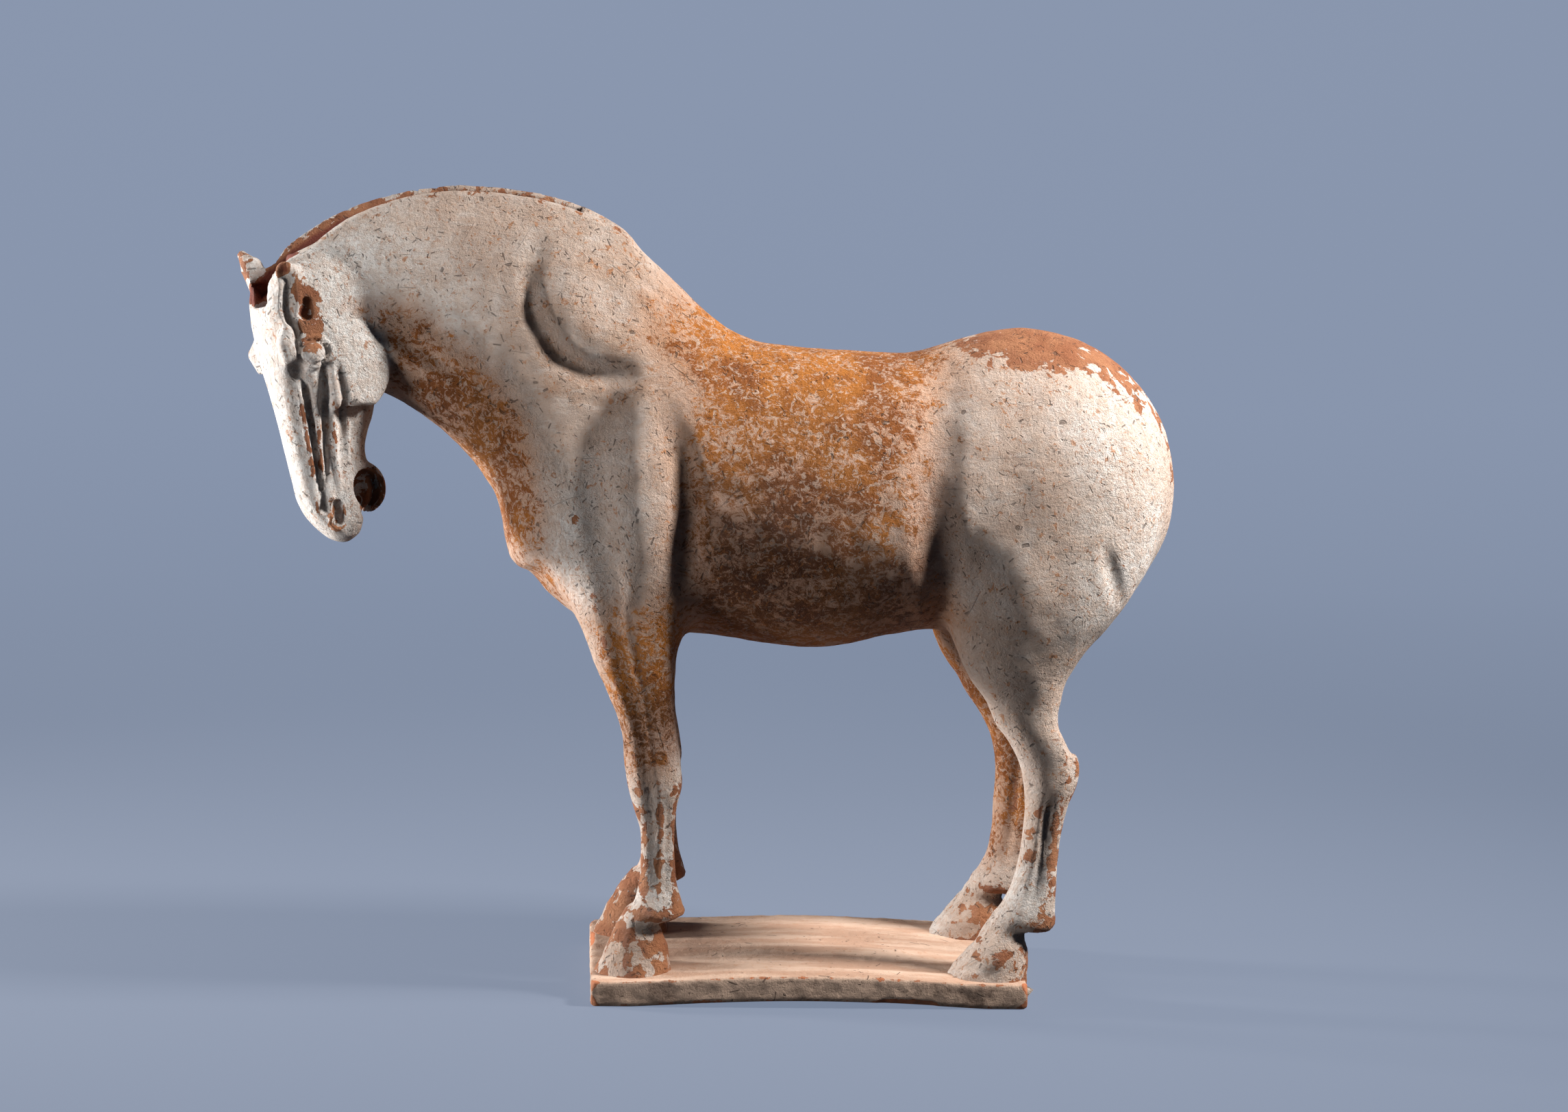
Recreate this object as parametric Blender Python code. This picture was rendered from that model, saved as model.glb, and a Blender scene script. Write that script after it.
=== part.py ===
"""A fired clay horse standing on its own arched slab, one piece, heading to -X with its left side to -Y.

The figure is built as a field of distances to its surface, in millimetres: lofts through named stations are
blended together, carved and drawn over with strokes, then meshed on a grid and thinned out. The slab is plain
solid joined on at the end, so that its underside stays flat where it stands.
"""

import math

import bmesh
import bpy
import numpy as np

MM = 0.001
NAME = "terracotta_horse"
GRID = 2.0
# How far a corner or the middle of an edge may stand off the clay after the thinning.
CORNER_OFF = 1.9
EDGE_OFF = 2.0
BLOCK = 16
TRIANGLES = 8600

SLAB_LENGTH = 277.0
SLAB_WIDTH = 160.0
SLAB_THICK = 16.5
SLAB_RISE = 4.2
SLAB_LANDING = 24.0
SLAB_BEVEL = 1.6

MANE_SLOT_WIDTH = 14.0
MANE_SLOT_DEPTH = 12.0
FOREHEAD_SLOT_WIDTH = 23.0
FOREHEAD_SLOT_END = 31.0
TAIL_SOCKET_WIDTH = 13.0
TAIL_SOCKET_DEPTH = 14.0

# How far the near rim of the mane slot is worn below the far one: angle round the neck hub, drop.
WORN_RIM = ((70, 0.0), (76, 0.7), (92, 1.0), (101, 1.8), (106, 3.2), (110, 6.0), (114, 10.0), (119, 14.0))

HEAD_TURN = 27.0
HEAD_TUCK = 10.0
HEAD_TIP = 7.0
HEAD_TOP = (-352.8, -31.0, 463.0)

NECK_HUB = (-227.0, 238.0)

# Along the belly: place, back, belly, half width.
BARREL = (
    (-140, 418, 236, 80),
    (-90, 420, 230, 86),
    (-50, 416, 225, 89),
    (-15, 412.5, 220.5, 90),
    (20, 410.5, 222, 90),
    (50, 409.5, 229, 88),
    (80, 410, 235, 85),
    (110, 410, 243, 80),
    (140, 408, 255, 72),
)

# Degrees above level round the neck hub: throat, crest, half width, sideways shift, narrowing to the crest.
NECK = (
    (36, 40, 228, 62, 0, 0.3),
    (49, 52, 245, 62, 0, 0.3),
    (60, 62, 255, 58, 0, 0.3),
    (71, 77, 266.5, 53, 0, 0.28),
    (82, 93, 269.5, 47, 0, 0.25),
    (92, 110, 269, 41.5, -0.5, 0.16),
    (101.5, 131, 265.5, 37, -3.5, 0.0),
    (109, 148, 260, 32, -8, -0.16),
    (115, 162, 254, 28, -13, -0.26),
    (122, 174, 246, 24, -18, -0.3),
)

# Up a foreleg: height, front, back, inner side, outer side.
FORELEG = (
    (10, -134, -84, 27, 73),
    (49, -118, -90, 37, 65),
    (54, -115.5, -80, 34.5, 67.5),
    (60, -112, -81, 36.5, 65.5),
    (72, -109, -84.5, 39.5, 62.5),
    (88, -108, -86.5, 41, 61),
    (108, -109, -87, 40.5, 61.5),
    (122, -113, -86, 38.5, 63.5),
    (138, -117.5, -83, 36, 66.5),
    (150, -119.5, -84, 35.5, 67),
    (168, -121, -86.5, 34, 69),
    (190, -128.5, -88.5, 30, 73),
    (211, -138, -88.5, 24, 78),
    (235, -147, -86, 16, 82),
    (262, -157, -78, 12, 83),
    (300, -164, -74, 12, 80),
    (335, -156, -78, 16, 70),
    (370, -146, -84, 20, 56),
)

# Up a hind leg: height, front, back, inner side, outer side.
HINDLEG = (
    (44, 118, 152, 36, 68),
    (50, 117.5, 157.5, 34.5, 69.5),
    (58, 121, 157.5, 35.5, 69),
    (72, 128, 157.5, 38, 67),
    (91, 133, 158, 40, 65),
    (109, 135, 159.5, 40, 65),
    (126, 136, 163, 39, 66),
    (141, 134.5, 168.5, 38, 67),
    (155, 131, 169.5, 37.5, 68),
    (168, 124, 164, 36, 70),
    (181, 115, 157, 33, 72),
    (193, 109, 156, 30, 74),
    (208, 98, 159, 24, 78),
    (227, 89, 171, 17, 82),
    (249, 84, 190, 12, 85),
    (275, 82, 205, 9, 85),
    (310, 86, 212, 8, 80),
    (345, 100, 205, 10, 70),
    (380, 112, 190, 14, 54),
)

# Up a hoof, from the slab: height, front, back, inner side, outer side.
FORE_HOOF = (
    (8, -136, -84, 26, 74),
    (17, -135.5, -87, 28, 72.5),
    (28, -131, -89.5, 30.5, 70),
    (38, -126.5, -93, 33.5, 67.5),
    (48, -122, -96, 37, 64.5),
    (56, -117, -97, 39, 62.5),
)
HIND_HOOF = (
    (8, 86, 141, 30, 78),
    (17, 90, 141, 31, 76.5),
    (28, 98, 141, 33, 74),
    (38, 106.5, 140, 36, 71),
    (48, 114, 137, 39, 67.5),
    (58, 120, 134, 41, 64.5),
)

# How far each leg on the far side stands from its twin, up from the ground: height, shift along the body.
FAR_FORE_SHIFT = ((0, 0), (30, 1), (60, 4.5), (110, 4.5), (160, 2), (230, 0), (400, 0))
FAR_HIND_SHIFT = ((0, -1), (40, -1), (70, -1.5), (110, -5), (200, -6.5), (250, -4), (320, 0), (400, 0))

# Down the head from the poll: place, face line, throat line, half width, narrowing to the face line.
FACE = (
    (3, -16, -30, 8, 0.0),
    (8, -6, -39, 19, 0.0),
    (15, 1.5, -45, 26.5, 0.0),
    (24, 5.5, -49, 30, 0.0),
    (36, 7.5, -50, 31, 0.0),
    (52, 8.3, -48, 30, 0.04),
    (66, 8.5, -45, 27.5, 0.08),
    (84, 7.8, -42, 22.5, 0.14),
    (104, 7.0, -39, 19.0, 0.16),
    (122, 6.4, -34.5, 17.0, 0.16),
    (141, 5.5, -31, 15.8, 0.14),
    (156, 4.3, -32, 15.8, 0.1),
    (167, 0, -32.5, 15.6, 0.05),
    (176, -6.5, -30.5, 14.0, 0.0),
    (182, -12, -26.5, 10, 0.0),
    (185, -16, -22, 5, 0.0),
)

# Down the lower jaw: place, upper line, lower line, half width.
JAW = (
    (56, -18, -56, 22),
    (84, -22, -59, 20),
    (100, -24, -56.5, 17.5),
    (111, -24, -52.5, 15.5),
    (120, -22, -47.5, 13.5),
    (130, -22, -43.5, 12.5),
    (141, -24, -43.5, 12),
    (152, -28, -45, 11),
)

CHEEK = (76.0, -30.0)
CHEEK_RADIUS = 32.0
CHEEK_FOOT = 101.2
EYE = (63.8, -12.3, 24.5)
EYE_RADII = (7.9, 7.9, 6.4)
CHIN = (153.5, -34.8)
CHIN_SPREAD = (16.8, 15.3)
MOUTH = (154.5, -36.5)
MOUTH_SPREAD = (12.6, 10.2)


def curve(knots, count=400):
    """Smooth columns through knots: a function of the first column that gives the others."""
    table = np.array(knots, float)
    at, rows = table[:, 0], table[:, 1:]
    slopes = np.gradient(rows, at, axis=0)
    fine = np.linspace(at[0], at[-1], count)
    left = np.clip(np.searchsorted(at, fine, side="right") - 1, 0, len(at) - 2)
    span = (at[left + 1] - at[left])[:, None]
    t = (fine - at[left])[:, None] / span
    smooth = (
        (2 * t**3 - 3 * t**2 + 1) * rows[left]
        + (t**3 - 2 * t**2 + t) * span * slopes[left]
        + (3 * t**2 - 2 * t**3) * rows[left + 1]
        + (t**3 - t**2) * span * slopes[left + 1]
    )
    return lambda where: [np.interp(where, fine, column) for column in smooth.T]


def blend_min(a, b, soft):
    mix = np.clip(0.5 + 0.5 * (b - a) / soft, 0, 1)
    return b + (a - b) * mix - soft * mix * (1 - mix)


def blend_max(a, b, soft):
    return -blend_min(-a, -b, soft)


def measured(level, step=0.3):
    """Turns any level function into a distance, by its own slope."""

    def field(x, y, z):
        here = level(x, y, z)
        slope = np.sqrt(
            (level(x + step, y, z) - here) ** 2
            + (level(x, y + step, z) - here) ** 2
            + (level(x, y, z + step) - here) ** 2
        )
        return here * step / np.maximum(slope, step / 70)

    return field


def egg(u, v, power=2.0):
    return (np.abs(u) ** power + np.abs(v) ** power) ** (1 / power) - 1


def ellipsoid(centre, radii):
    def field(x, y, z):
        u = [(c - m) / r for c, m, r in zip((x, y, z), centre, radii)]
        near = np.sqrt(sum(c * c for c in u)) + 1e-6
        slope = np.sqrt(sum((c / r) ** 2 for c, r in zip(u, radii))) + 1e-6
        return near * (near - 1) / slope

    return field


def rod(points, radii):
    """A round rod along a path, its radius running from one to the next."""
    path = [np.array(point, float) for point in points]

    def field(x, y, z):
        best = None
        for start, end, first, last in zip(path, path[1:], radii, radii[1:]):
            along = end - start
            parts = (x - start[0], y - start[1], z - start[2])
            t = sum(p * a for p, a in zip(parts, along)) / (along @ along)
            t = np.clip(t, 0, 1)
            gap = np.sqrt(sum((p - t * a) ** 2 for p, a in zip(parts, along)))
            gap = gap - (first + (last - first) * t)
            best = gap if best is None else np.minimum(best, gap)
        return best

    return field


def flowing(path, parts=5):
    """The same path with its corners rounded, as a tool's stroke has them."""
    rows = np.array(path, float)
    steps = np.hypot(*np.diff(rows[:, :2], axis=0).T)
    run = np.concatenate([[0], np.cumsum(steps)])
    through = curve(np.column_stack([run, rows]))
    return np.stack(through(np.linspace(0, run[-1], parts * (len(rows) - 1) + 1)), axis=1)


def drawn(u, v, path):
    """Distance to a flat path of (u, v, width, height), with the width and the height where it is nearest."""
    best = np.full(np.shape(u), 1e9)
    width = np.ones_like(best)
    height = np.zeros_like(best)
    for first, last in zip(path, path[1:]):
        along_u, along_v = last[0] - first[0], last[1] - first[1]
        t = ((u - first[0]) * along_u + (v - first[1]) * along_v) / (along_u**2 + along_v**2)
        t = np.clip(t, 0, 1)
        gap = np.hypot(u - first[0] - t * along_u, v - first[1] - t * along_v)
        nearer = gap < best
        best = np.where(nearer, gap, best)
        width = np.where(nearer, first[2] + (last[2] - first[2]) * t, width)
        height = np.where(nearer, first[3] + (last[3] - first[3]) * t, height)
    return best, width, height


class Clay:
    """The steps that shape the figure, each within its own box, so that a block far from it can skip it."""

    def __init__(self):
        self.steps = []

    def join(self, field, low, high, soft=4.0):
        self.steps.append(("join", field, np.array(low, float), np.array(high, float), soft))

    def cut(self, field, low, high, soft=1.0):
        self.steps.append(("cut", field, np.array(low, float), np.array(high, float), soft))

    def raise_by(self, field, low, high):
        self.steps.append(("raise", field, np.array(low, float), np.array(high, float), 0.0))

    def distance(self, x, y, z, low, high, skip=True):
        total = np.full(np.shape(x), 500.0)
        for kind, field, first, last, soft in self.steps:
            reach = soft + 9.0
            if skip and (np.any(high < first - reach) or np.any(low > last + reach)):
                continue
            value = field(x, y, z)
            if kind == "join":
                total = blend_min(total, value, soft)
            elif kind == "cut":
                total = blend_max(total, -value, soft)
            else:
                total = total - value
        return total


def head_axes():
    turn, tuck, tip = (math.radians(a) for a in (HEAD_TURN, HEAD_TUCK, HEAD_TIP))
    ahead = np.array([-math.cos(turn), -math.sin(turn), 0.0])
    side = np.array([math.sin(turn), -math.cos(turn), 0.0])
    up = np.array([0.0, 0.0, 1.0])
    down = -up * math.cos(tuck) - ahead * math.sin(tuck)
    face = ahead * math.cos(tuck) - up * math.sin(tuck)
    # The far side of the head hangs a little lower than the near one.
    tipped_side = side * math.cos(tip) - down * math.sin(tip)
    tipped_down = down * math.cos(tip) + side * math.sin(tip)
    return tipped_down, face, tipped_side


DOWN, AHEAD, SIDE = head_axes()
TOP = np.array(HEAD_TOP)


def in_head(x, y, z):
    parts = (x - TOP[0], y - TOP[1], z - TOP[2])
    return [sum(p * a for p, a in zip(parts, axis)) for axis in (DOWN, AHEAD, SIDE)]


def from_head(place, ahead, side):
    return TOP + DOWN * place + AHEAD * ahead + SIDE * side


def head_box(low, high):
    """The box in the figure's frame round a box in the head's frame."""
    corners = [
        from_head(a, b, c) for a in (low[0], high[0]) for b in (low[1], high[1]) for c in (low[2], high[2])
    ]
    return np.min(corners, axis=0), np.max(corners, axis=0)


def add_body(clay):
    barrel = curve(BARREL)

    def barrel_level(x, y, z):
        back, belly, half = barrel(x)
        high = (z - (back + belly) / 2) / ((back - belly) / 2)
        return egg(high, y / (half * (1 - 0.05 * high)), 2.15)

    barrel_field = measured(barrel_level)

    def barrel_body(x, y, z):
        return blend_max(barrel_field(x, y, z), np.abs(x + 5) - 120, 20)

    clay.join(barrel_body, (-135, -92, 215), (120, 92, 426), 1)
    clay.join(ellipsoid((-116, 0, 300), (73.5, 77, 70)), (-195, -80, 228), (-40, 80, 378), 14)
    clay.join(ellipsoid((131, 0, 326), (101, 82, 101)), (25, -85, 222), (235, 85, 430), 14)

    neck = curve(NECK)

    def neck_level(x, y, z):
        radius = np.hypot(x - NECK_HUB[0], z - NECK_HUB[1])
        angle = np.degrees(np.arctan2(z - NECK_HUB[1], x - NECK_HUB[0]))
        throat, crest, half, shift, thin = neck(angle)
        high = (radius - (throat + crest) / 2) / ((crest - throat) / 2)
        # The crest bends over to the poll, while the throat stays nearer the middle.
        bent = shift * (0.5 + 0.5 * np.clip(high, -1, 1))
        return egg(high, (y - bent) / (half * (1 - thin * high)), 2.25)

    neck_field = measured(neck_level)

    def neck_body(x, y, z):
        angle = np.degrees(np.arctan2(z - NECK_HUB[1], x - NECK_HUB[0]))
        radius = np.hypot(x - NECK_HUB[0], z - NECK_HUB[1])
        far = np.maximum((angle - 116) * radius, (42 - angle) * radius) * math.pi / 180
        far = np.where(angle < -60, 60.0, far)
        return blend_max(neck_field(x, y, z), far, 16)

    clay.join(neck_body, (-352, -66, 270), (-30, 66, 512), 20)

    def crest_band(x, y, z):
        radius = np.hypot(x - NECK_HUB[0], z - NECK_HUB[1])
        angle = np.degrees(np.arctan2(z - NECK_HUB[1], x - NECK_HUB[0]))
        crest, _, shift = neck(angle)[1:4]
        across = np.abs(y - shift) - 8.5
        up = np.abs(radius - (crest - 12.5)) - 9.0
        inside = np.minimum(np.maximum(across, up), 0)
        corner = np.hypot(np.maximum(across, 0), np.maximum(up, 0)) + inside - 3.5
        ends = np.maximum(angle - 118, 66 - angle) * 4.5
        return blend_max(corner, ends, 10)

    clay.join(crest_band, (-350, -40, 440), (-110, 20, 512), 10)

    def worn_rim(x, y, z):
        radius = np.hypot(x - NECK_HUB[0], z - NECK_HUB[1])
        angle = np.degrees(np.arctan2(z - NECK_HUB[1], x - NECK_HUB[0]))
        crest, _, shift = neck(angle)[1:4]
        drop = np.interp(angle, *np.array(WORN_RIM).T)
        ends = np.maximum(angle - 119, 70 - angle) * 4.5
        return np.maximum(np.maximum(crest - drop - radius, y - shift + 2), ends)

    clay.cut(worn_rim, (-350, -50, 430), (-130, 0, 520), 2.5)


def leg(stations, foot, top, far_shift):
    columns = curve(stations)
    shifted = np.array(far_shift, float).T

    def level(x, y, z):
        front, back, inner, outer = columns(z)
        x = x - np.where(y > 0, np.interp(z, *shifted), 0)
        across = (np.abs(y) - (inner + outer) / 2) / ((outer - inner) / 2)
        return egg((x - (front + back) / 2) / ((back - front) / 2), across, 2.2)

    field = measured(level)

    def body(x, y, z):
        return blend_max(blend_max(field(x, y, z), foot - z, 3), z - top, 3 if top < 100 else 26)

    return body


def add_legs(clay):
    for stations, foot, top, soft, shift in (
        (FORELEG, 50, 362, 16, FAR_FORE_SHIFT),
        (HINDLEG, 46, 372, 16, FAR_HIND_SHIFT),
        (FORE_HOOF, 8, 58, 3, FAR_FORE_SHIFT),
        (HIND_HOOF, 8, 58, 3, FAR_HIND_SHIFT),
    ):
        rows = np.array(stations, float)
        low = (rows[:, 1].min() - 7, -rows[:, 4].max(), foot)
        high = (rows[:, 2].max() + 7, rows[:, 4].max(), top)
        clay.join(leg(stations, foot, top, shift), low, high, soft)


def add_head(clay):
    face = curve(FACE)
    jaw = curve(JAW)

    def lofted(columns, power, step=0.3):
        def field(x, y, z):
            place, ahead, side = in_head(x, y, z)
            upper, lower, half, thin = (*columns(place), -0.1)[:4]

            def level(ahead, side):
                high = (ahead - (upper + lower) / 2) / ((upper - lower) / 2)
                return egg(high, side / (half * (1 - thin * high)), power)

            here = level(ahead, side)
            slope = np.hypot(level(ahead + step, side) - here, level(ahead, side + step) - here)
            return here * step / np.maximum(slope, step / 70)

        return field

    face_field = lofted(face, 3.0)
    jaw_field = lofted(jaw, 2.3)

    def face_body(x, y, z):
        place = in_head(x, y, z)[0]
        return blend_max(face_field(x, y, z), np.maximum(3 - place, place - 185), 3)

    def jaw_body(x, y, z):
        place = in_head(x, y, z)[0]
        return blend_max(jaw_field(x, y, z), np.maximum(56 - place, place - 152), 4)

    clay.join(face_body, *head_box((3, -52, -33), (185, 11, 33)), 12)
    clay.join(jaw_body, *head_box((56, -64, -22), (152, -18, 22)), 6)

    def cheek(x, y, z):
        place, ahead, side = in_head(x, y, z)
        across = np.hypot(place - CHEEK[0], ahead - CHEEK[1]) - CHEEK_RADIUS
        across = np.maximum(across, place - CHEEK_FOOT + 0.145 * (ahead - CHEEK[1]))
        flare = 0.04 * (CHEEK[1] - ahead)
        dome = np.abs(side) - 32 - flare + 0.003 * ((place - CHEEK[0]) ** 2 + (ahead - CHEEK[1]) ** 2)
        dome = dome + 0.11 * np.maximum(ahead + 27, 0) ** 2 + 0.004 * np.maximum(66 - place, 0) ** 2
        return blend_max(across, dome, 4)

    clay.join(cheek, *head_box((42, -64, -35), (109, 4, 35)), 2)

    # The brow and the eye sit a little lower on the far side, as they do on the work itself.
    for sign, drop in ((1, 0.0), (-1, 5.0)):
        brow = [
            from_head(46 + drop, -1.0, sign * 26.0),
            from_head(55 + drop, 2.6, sign * (25.5 if sign > 0 else 27.5)),
            from_head(64 + drop, 2.0, sign * 24.0),
        ]
        clay.join(rod(brow, (3.4, 5.6, 4.4)), *head_box((37, -8, -36), (76, 12, 36)), 5)
        lids = from_head(EYE[0] + drop, EYE[1], sign * EYE[2])
        clay.join(ellipsoid(lids, (11.0, 11.0, 9.0)), lids - 12, lids + 12, 3.5)
        ball = from_head(EYE[0] + drop, EYE[1], sign * (EYE[2] + 2.6))
        clay.join(ellipsoid(ball, EYE_RADII), ball - 9, ball + 9, 1.2)
        pit = from_head(73 + drop, -2.0, sign * 24.5)
        clay.cut(ellipsoid(pit, (6.5, 7.0, 7.0)), pit - 8, pit + 8, 2)
        stroke_round_eye(clay, drop, sign)

    def chin(x, y, z):
        place, ahead, side = in_head(x, y, z)
        ring = egg((place - CHIN[0]) / CHIN_SPREAD[0], (ahead - CHIN[1]) / CHIN_SPREAD[1]) * 15.5
        return blend_max(ring, np.abs(side) - 12.5, 5)

    clay.join(chin, *head_box((135, -51, -14), (172, -18, 14)), 2.5)

    def mouth(x, y, z):
        place, ahead, side = in_head(x, y, z)
        hole = egg((place - MOUTH[0]) / MOUTH_SPREAD[0], (ahead - MOUTH[1]) / MOUTH_SPREAD[1]) * 11
        return blend_max(hole, 3.4 - np.abs(side), 2)

    clay.cut(mouth, *head_box((141, -48, -16), (168, -25, 16)), 1)

    def mouth_gap(x, y, z):
        place, ahead, side = in_head(x, y, z)
        slit = np.hypot(place - 168.5, (ahead + 33.5) * 0.8) - 3.4
        return slit + 0 * side

    clay.cut(mouth_gap, *head_box((163, -40, -16), (174, -27, 16)), 1)

    for sign in (1, -1):
        tongue = [
            from_head(148.5, -40.5, sign * 5.0),
            from_head(155, -41.0, sign * 5.5),
            from_head(161.5, -38.0, sign * 5.5),
            from_head(165.5, -34, sign * 4.5),
        ]
        clay.join(rod(tongue, (2.0, 1.8, 1.8, 1.4)), *head_box((144, -45, -9), (169, -30, 9)), 1.0)

    # The deep channel on each side of the bridge of the nose.
    for sign in (1, -1):
        channel = [
            from_head(place, ahead, sign * side)
            for place, ahead, side in (
                (76, 1.5, 25.0),
                (85, 3.2, 23.0),
                (102, 3.0, 19.6),
                (121, 2.6, 17.8),
                (136, 1.8, 16.6),
                (152, 1.6, 16.4),
            )
        ]
        low, high = np.min(channel, axis=0) - 6, np.max(channel, axis=0) + 6
        clay.cut(rod(channel, (4.4, 3.6, 3.6, 3.6, 3.4, 2.6)), low, high, 1.2)

    add_ears(clay)
    add_nose(clay)


def add_ears(clay):
    for sign in (1, -1):
        root = from_head(20, -9, sign * 21)
        knob = from_head(14, -10, sign * 23)
        clay.join(rod([root, knob], (7.5, 6.5)), np.minimum(root, knob) - 9, np.maximum(root, knob) + 9, 5)
    # The near ear is broken off to a hollow stub; the far one is whole.
    stub = [from_head(15, -7, 22.5), from_head(11, -6.5, 25.0)]
    clay.join(rod(stub, (5.6, 5.2)), np.min(stub, axis=0) - 8, np.max(stub, axis=0) + 8, 2)
    hollow = [from_head(5.0, -5.0, 28.0), from_head(14.5, -2.5, 27.0)]
    clay.cut(rod(hollow, (3.4, 2.8)), np.min(hollow, axis=0) - 6, np.max(hollow, axis=0) + 6, 1.0)
    whole = [from_head(17, -7, -23.5), from_head(6, -6.5, -30), from_head(-3, -4.5, -37)]
    clay.join(rod(whole, (7.4, 7.2, 3.0)), np.min(whole, axis=0) - 9, np.max(whole, axis=0) + 9, 2)
    bowl = [from_head(14, 2.8, -26.5), from_head(1, 2.2, -34.5)]
    clay.cut(rod(bowl, (4.4, 2.2)), np.min(bowl, axis=0) - 6, np.max(bowl, axis=0) + 6, 0.8)
    for sign in (1, -1):
        temple = [from_head(32.5, -14.2, sign * 30.5), from_head(39.5, -12.4, sign * 30.5)]
        clay.cut(rod(temple, (3.0, 4.8)), np.min(temple, axis=0) - 6, np.max(temple, axis=0) + 6, 0.8)


def add_nose(clay):
    for sign in (1, -1):
        rim = [
            from_head(155, -8.5, sign * 14.6),
            from_head(164, -10.5, sign * 15.8),
            from_head(173, -11.0, sign * 13.0),
        ]
        clay.join(rod(rim, (2.6, 5.0, 3.4)), np.min(rim, axis=0) - 6, np.max(rim, axis=0) + 6, 3)
        for side in (19.5, 16.0):
            pit = [from_head(160.0, -12.4, sign * side), from_head(170.0, -11.6, sign * side)]
            clay.cut(rod(pit, (3.4, 3.8)), np.min(pit, axis=0) - 6, np.max(pit, axis=0) + 6, 0.8)
        dent = [from_head(144, -5.4, sign * 16.0), from_head(161, -4.8, sign * 15.4)]
        clay.cut(rod(dent, (2.8, 3.9)), np.min(dent, axis=0) - 6, np.max(dent, axis=0) + 6, 1.0)


def stroke_round_eye(clay, drop, sign):
    """The line between the eyeball and its lids, and the rim of the lids."""
    middle = from_head(EYE[0] + drop, EYE[1], sign * (EYE[2] + 8))

    def lift(x, y, z):
        place, ahead, side = in_head(x, y, z)
        reach = np.hypot(place - EYE[0] - drop, (ahead - EYE[1]) * 0.82)
        groove = -1.8 * np.clip(1 - ((reach - 7.0) / 1.8) ** 2, 0, 1)
        rim = 0.9 * np.clip(1 - ((reach - 9.6) / 1.9) ** 2, 0, 1)
        return (groove + rim) * np.clip((side * sign - 20) / 4, 0, 1)

    clay.raise_by(lift, middle - 16, middle + 16)


def stroke_on_face(clay, path, behind=-14.0):
    """A ridge or a groove on both halves of the front of the head: (place, side, width, height)."""
    rows = np.array(path, float)
    reach = rows[:, 2].max()
    low = (rows[:, 0].min() - reach, behind, -rows[:, 1].max() - reach)
    high = (rows[:, 0].max() + reach, 14, rows[:, 1].max() + reach)

    def lift(x, y, z):
        place, ahead, side = in_head(x, y, z)
        gap, width, height = drawn(place, np.abs(side), path)
        shape = np.clip(1 - (gap / width) ** 2, 0, 1) ** 2
        return height * shape * np.clip((ahead - behind) / 6, 0, 1)

    clay.raise_by(lift, *head_box(low, high))


def stroke_on_head(clay, path, low_side=6.0, power=2.0):
    """A ridge or a groove down both sides of the head: (place, ahead, width, height)."""
    rows = np.array(path, float)
    reach = rows[:, 2].max()
    low = (rows[:, 0].min() - reach, rows[:, 1].min() - reach, -34)
    high = (rows[:, 0].max() + reach, rows[:, 1].max() + reach, 34)

    def lift(x, y, z):
        place, ahead, side = in_head(x, y, z)
        gap, width, height = drawn(place, ahead, path)
        shape = np.clip(1 - (gap / width) ** power, 0, 1) ** 2
        gate = np.clip((np.abs(side) - low_side) / 5, 0, 1)
        return height * shape * gate

    clay.raise_by(lift, *head_box(low, high))


def stroke_on_side(clay, path, power=2.0, near=20.0):
    """A ridge or a groove on both flanks: (x, z, width, height)."""
    rows = np.array(path, float)
    reach = rows[:, 2].max() + 2
    low = (rows[:, 0].min() - reach, -95, rows[:, 1].min() - reach)
    high = (rows[:, 0].max() + reach, 95, rows[:, 1].max() + reach)
    path = flowing(path)

    def lift(x, y, z):
        gap, width, height = drawn(x, z, path)
        shape = np.clip(1 - (gap / width) ** power, 0, 1) ** 2
        gate = np.clip((np.abs(y) - near) / 8, 0, 1)
        return height * shape * gate

    clay.raise_by(lift, low, high)


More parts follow.
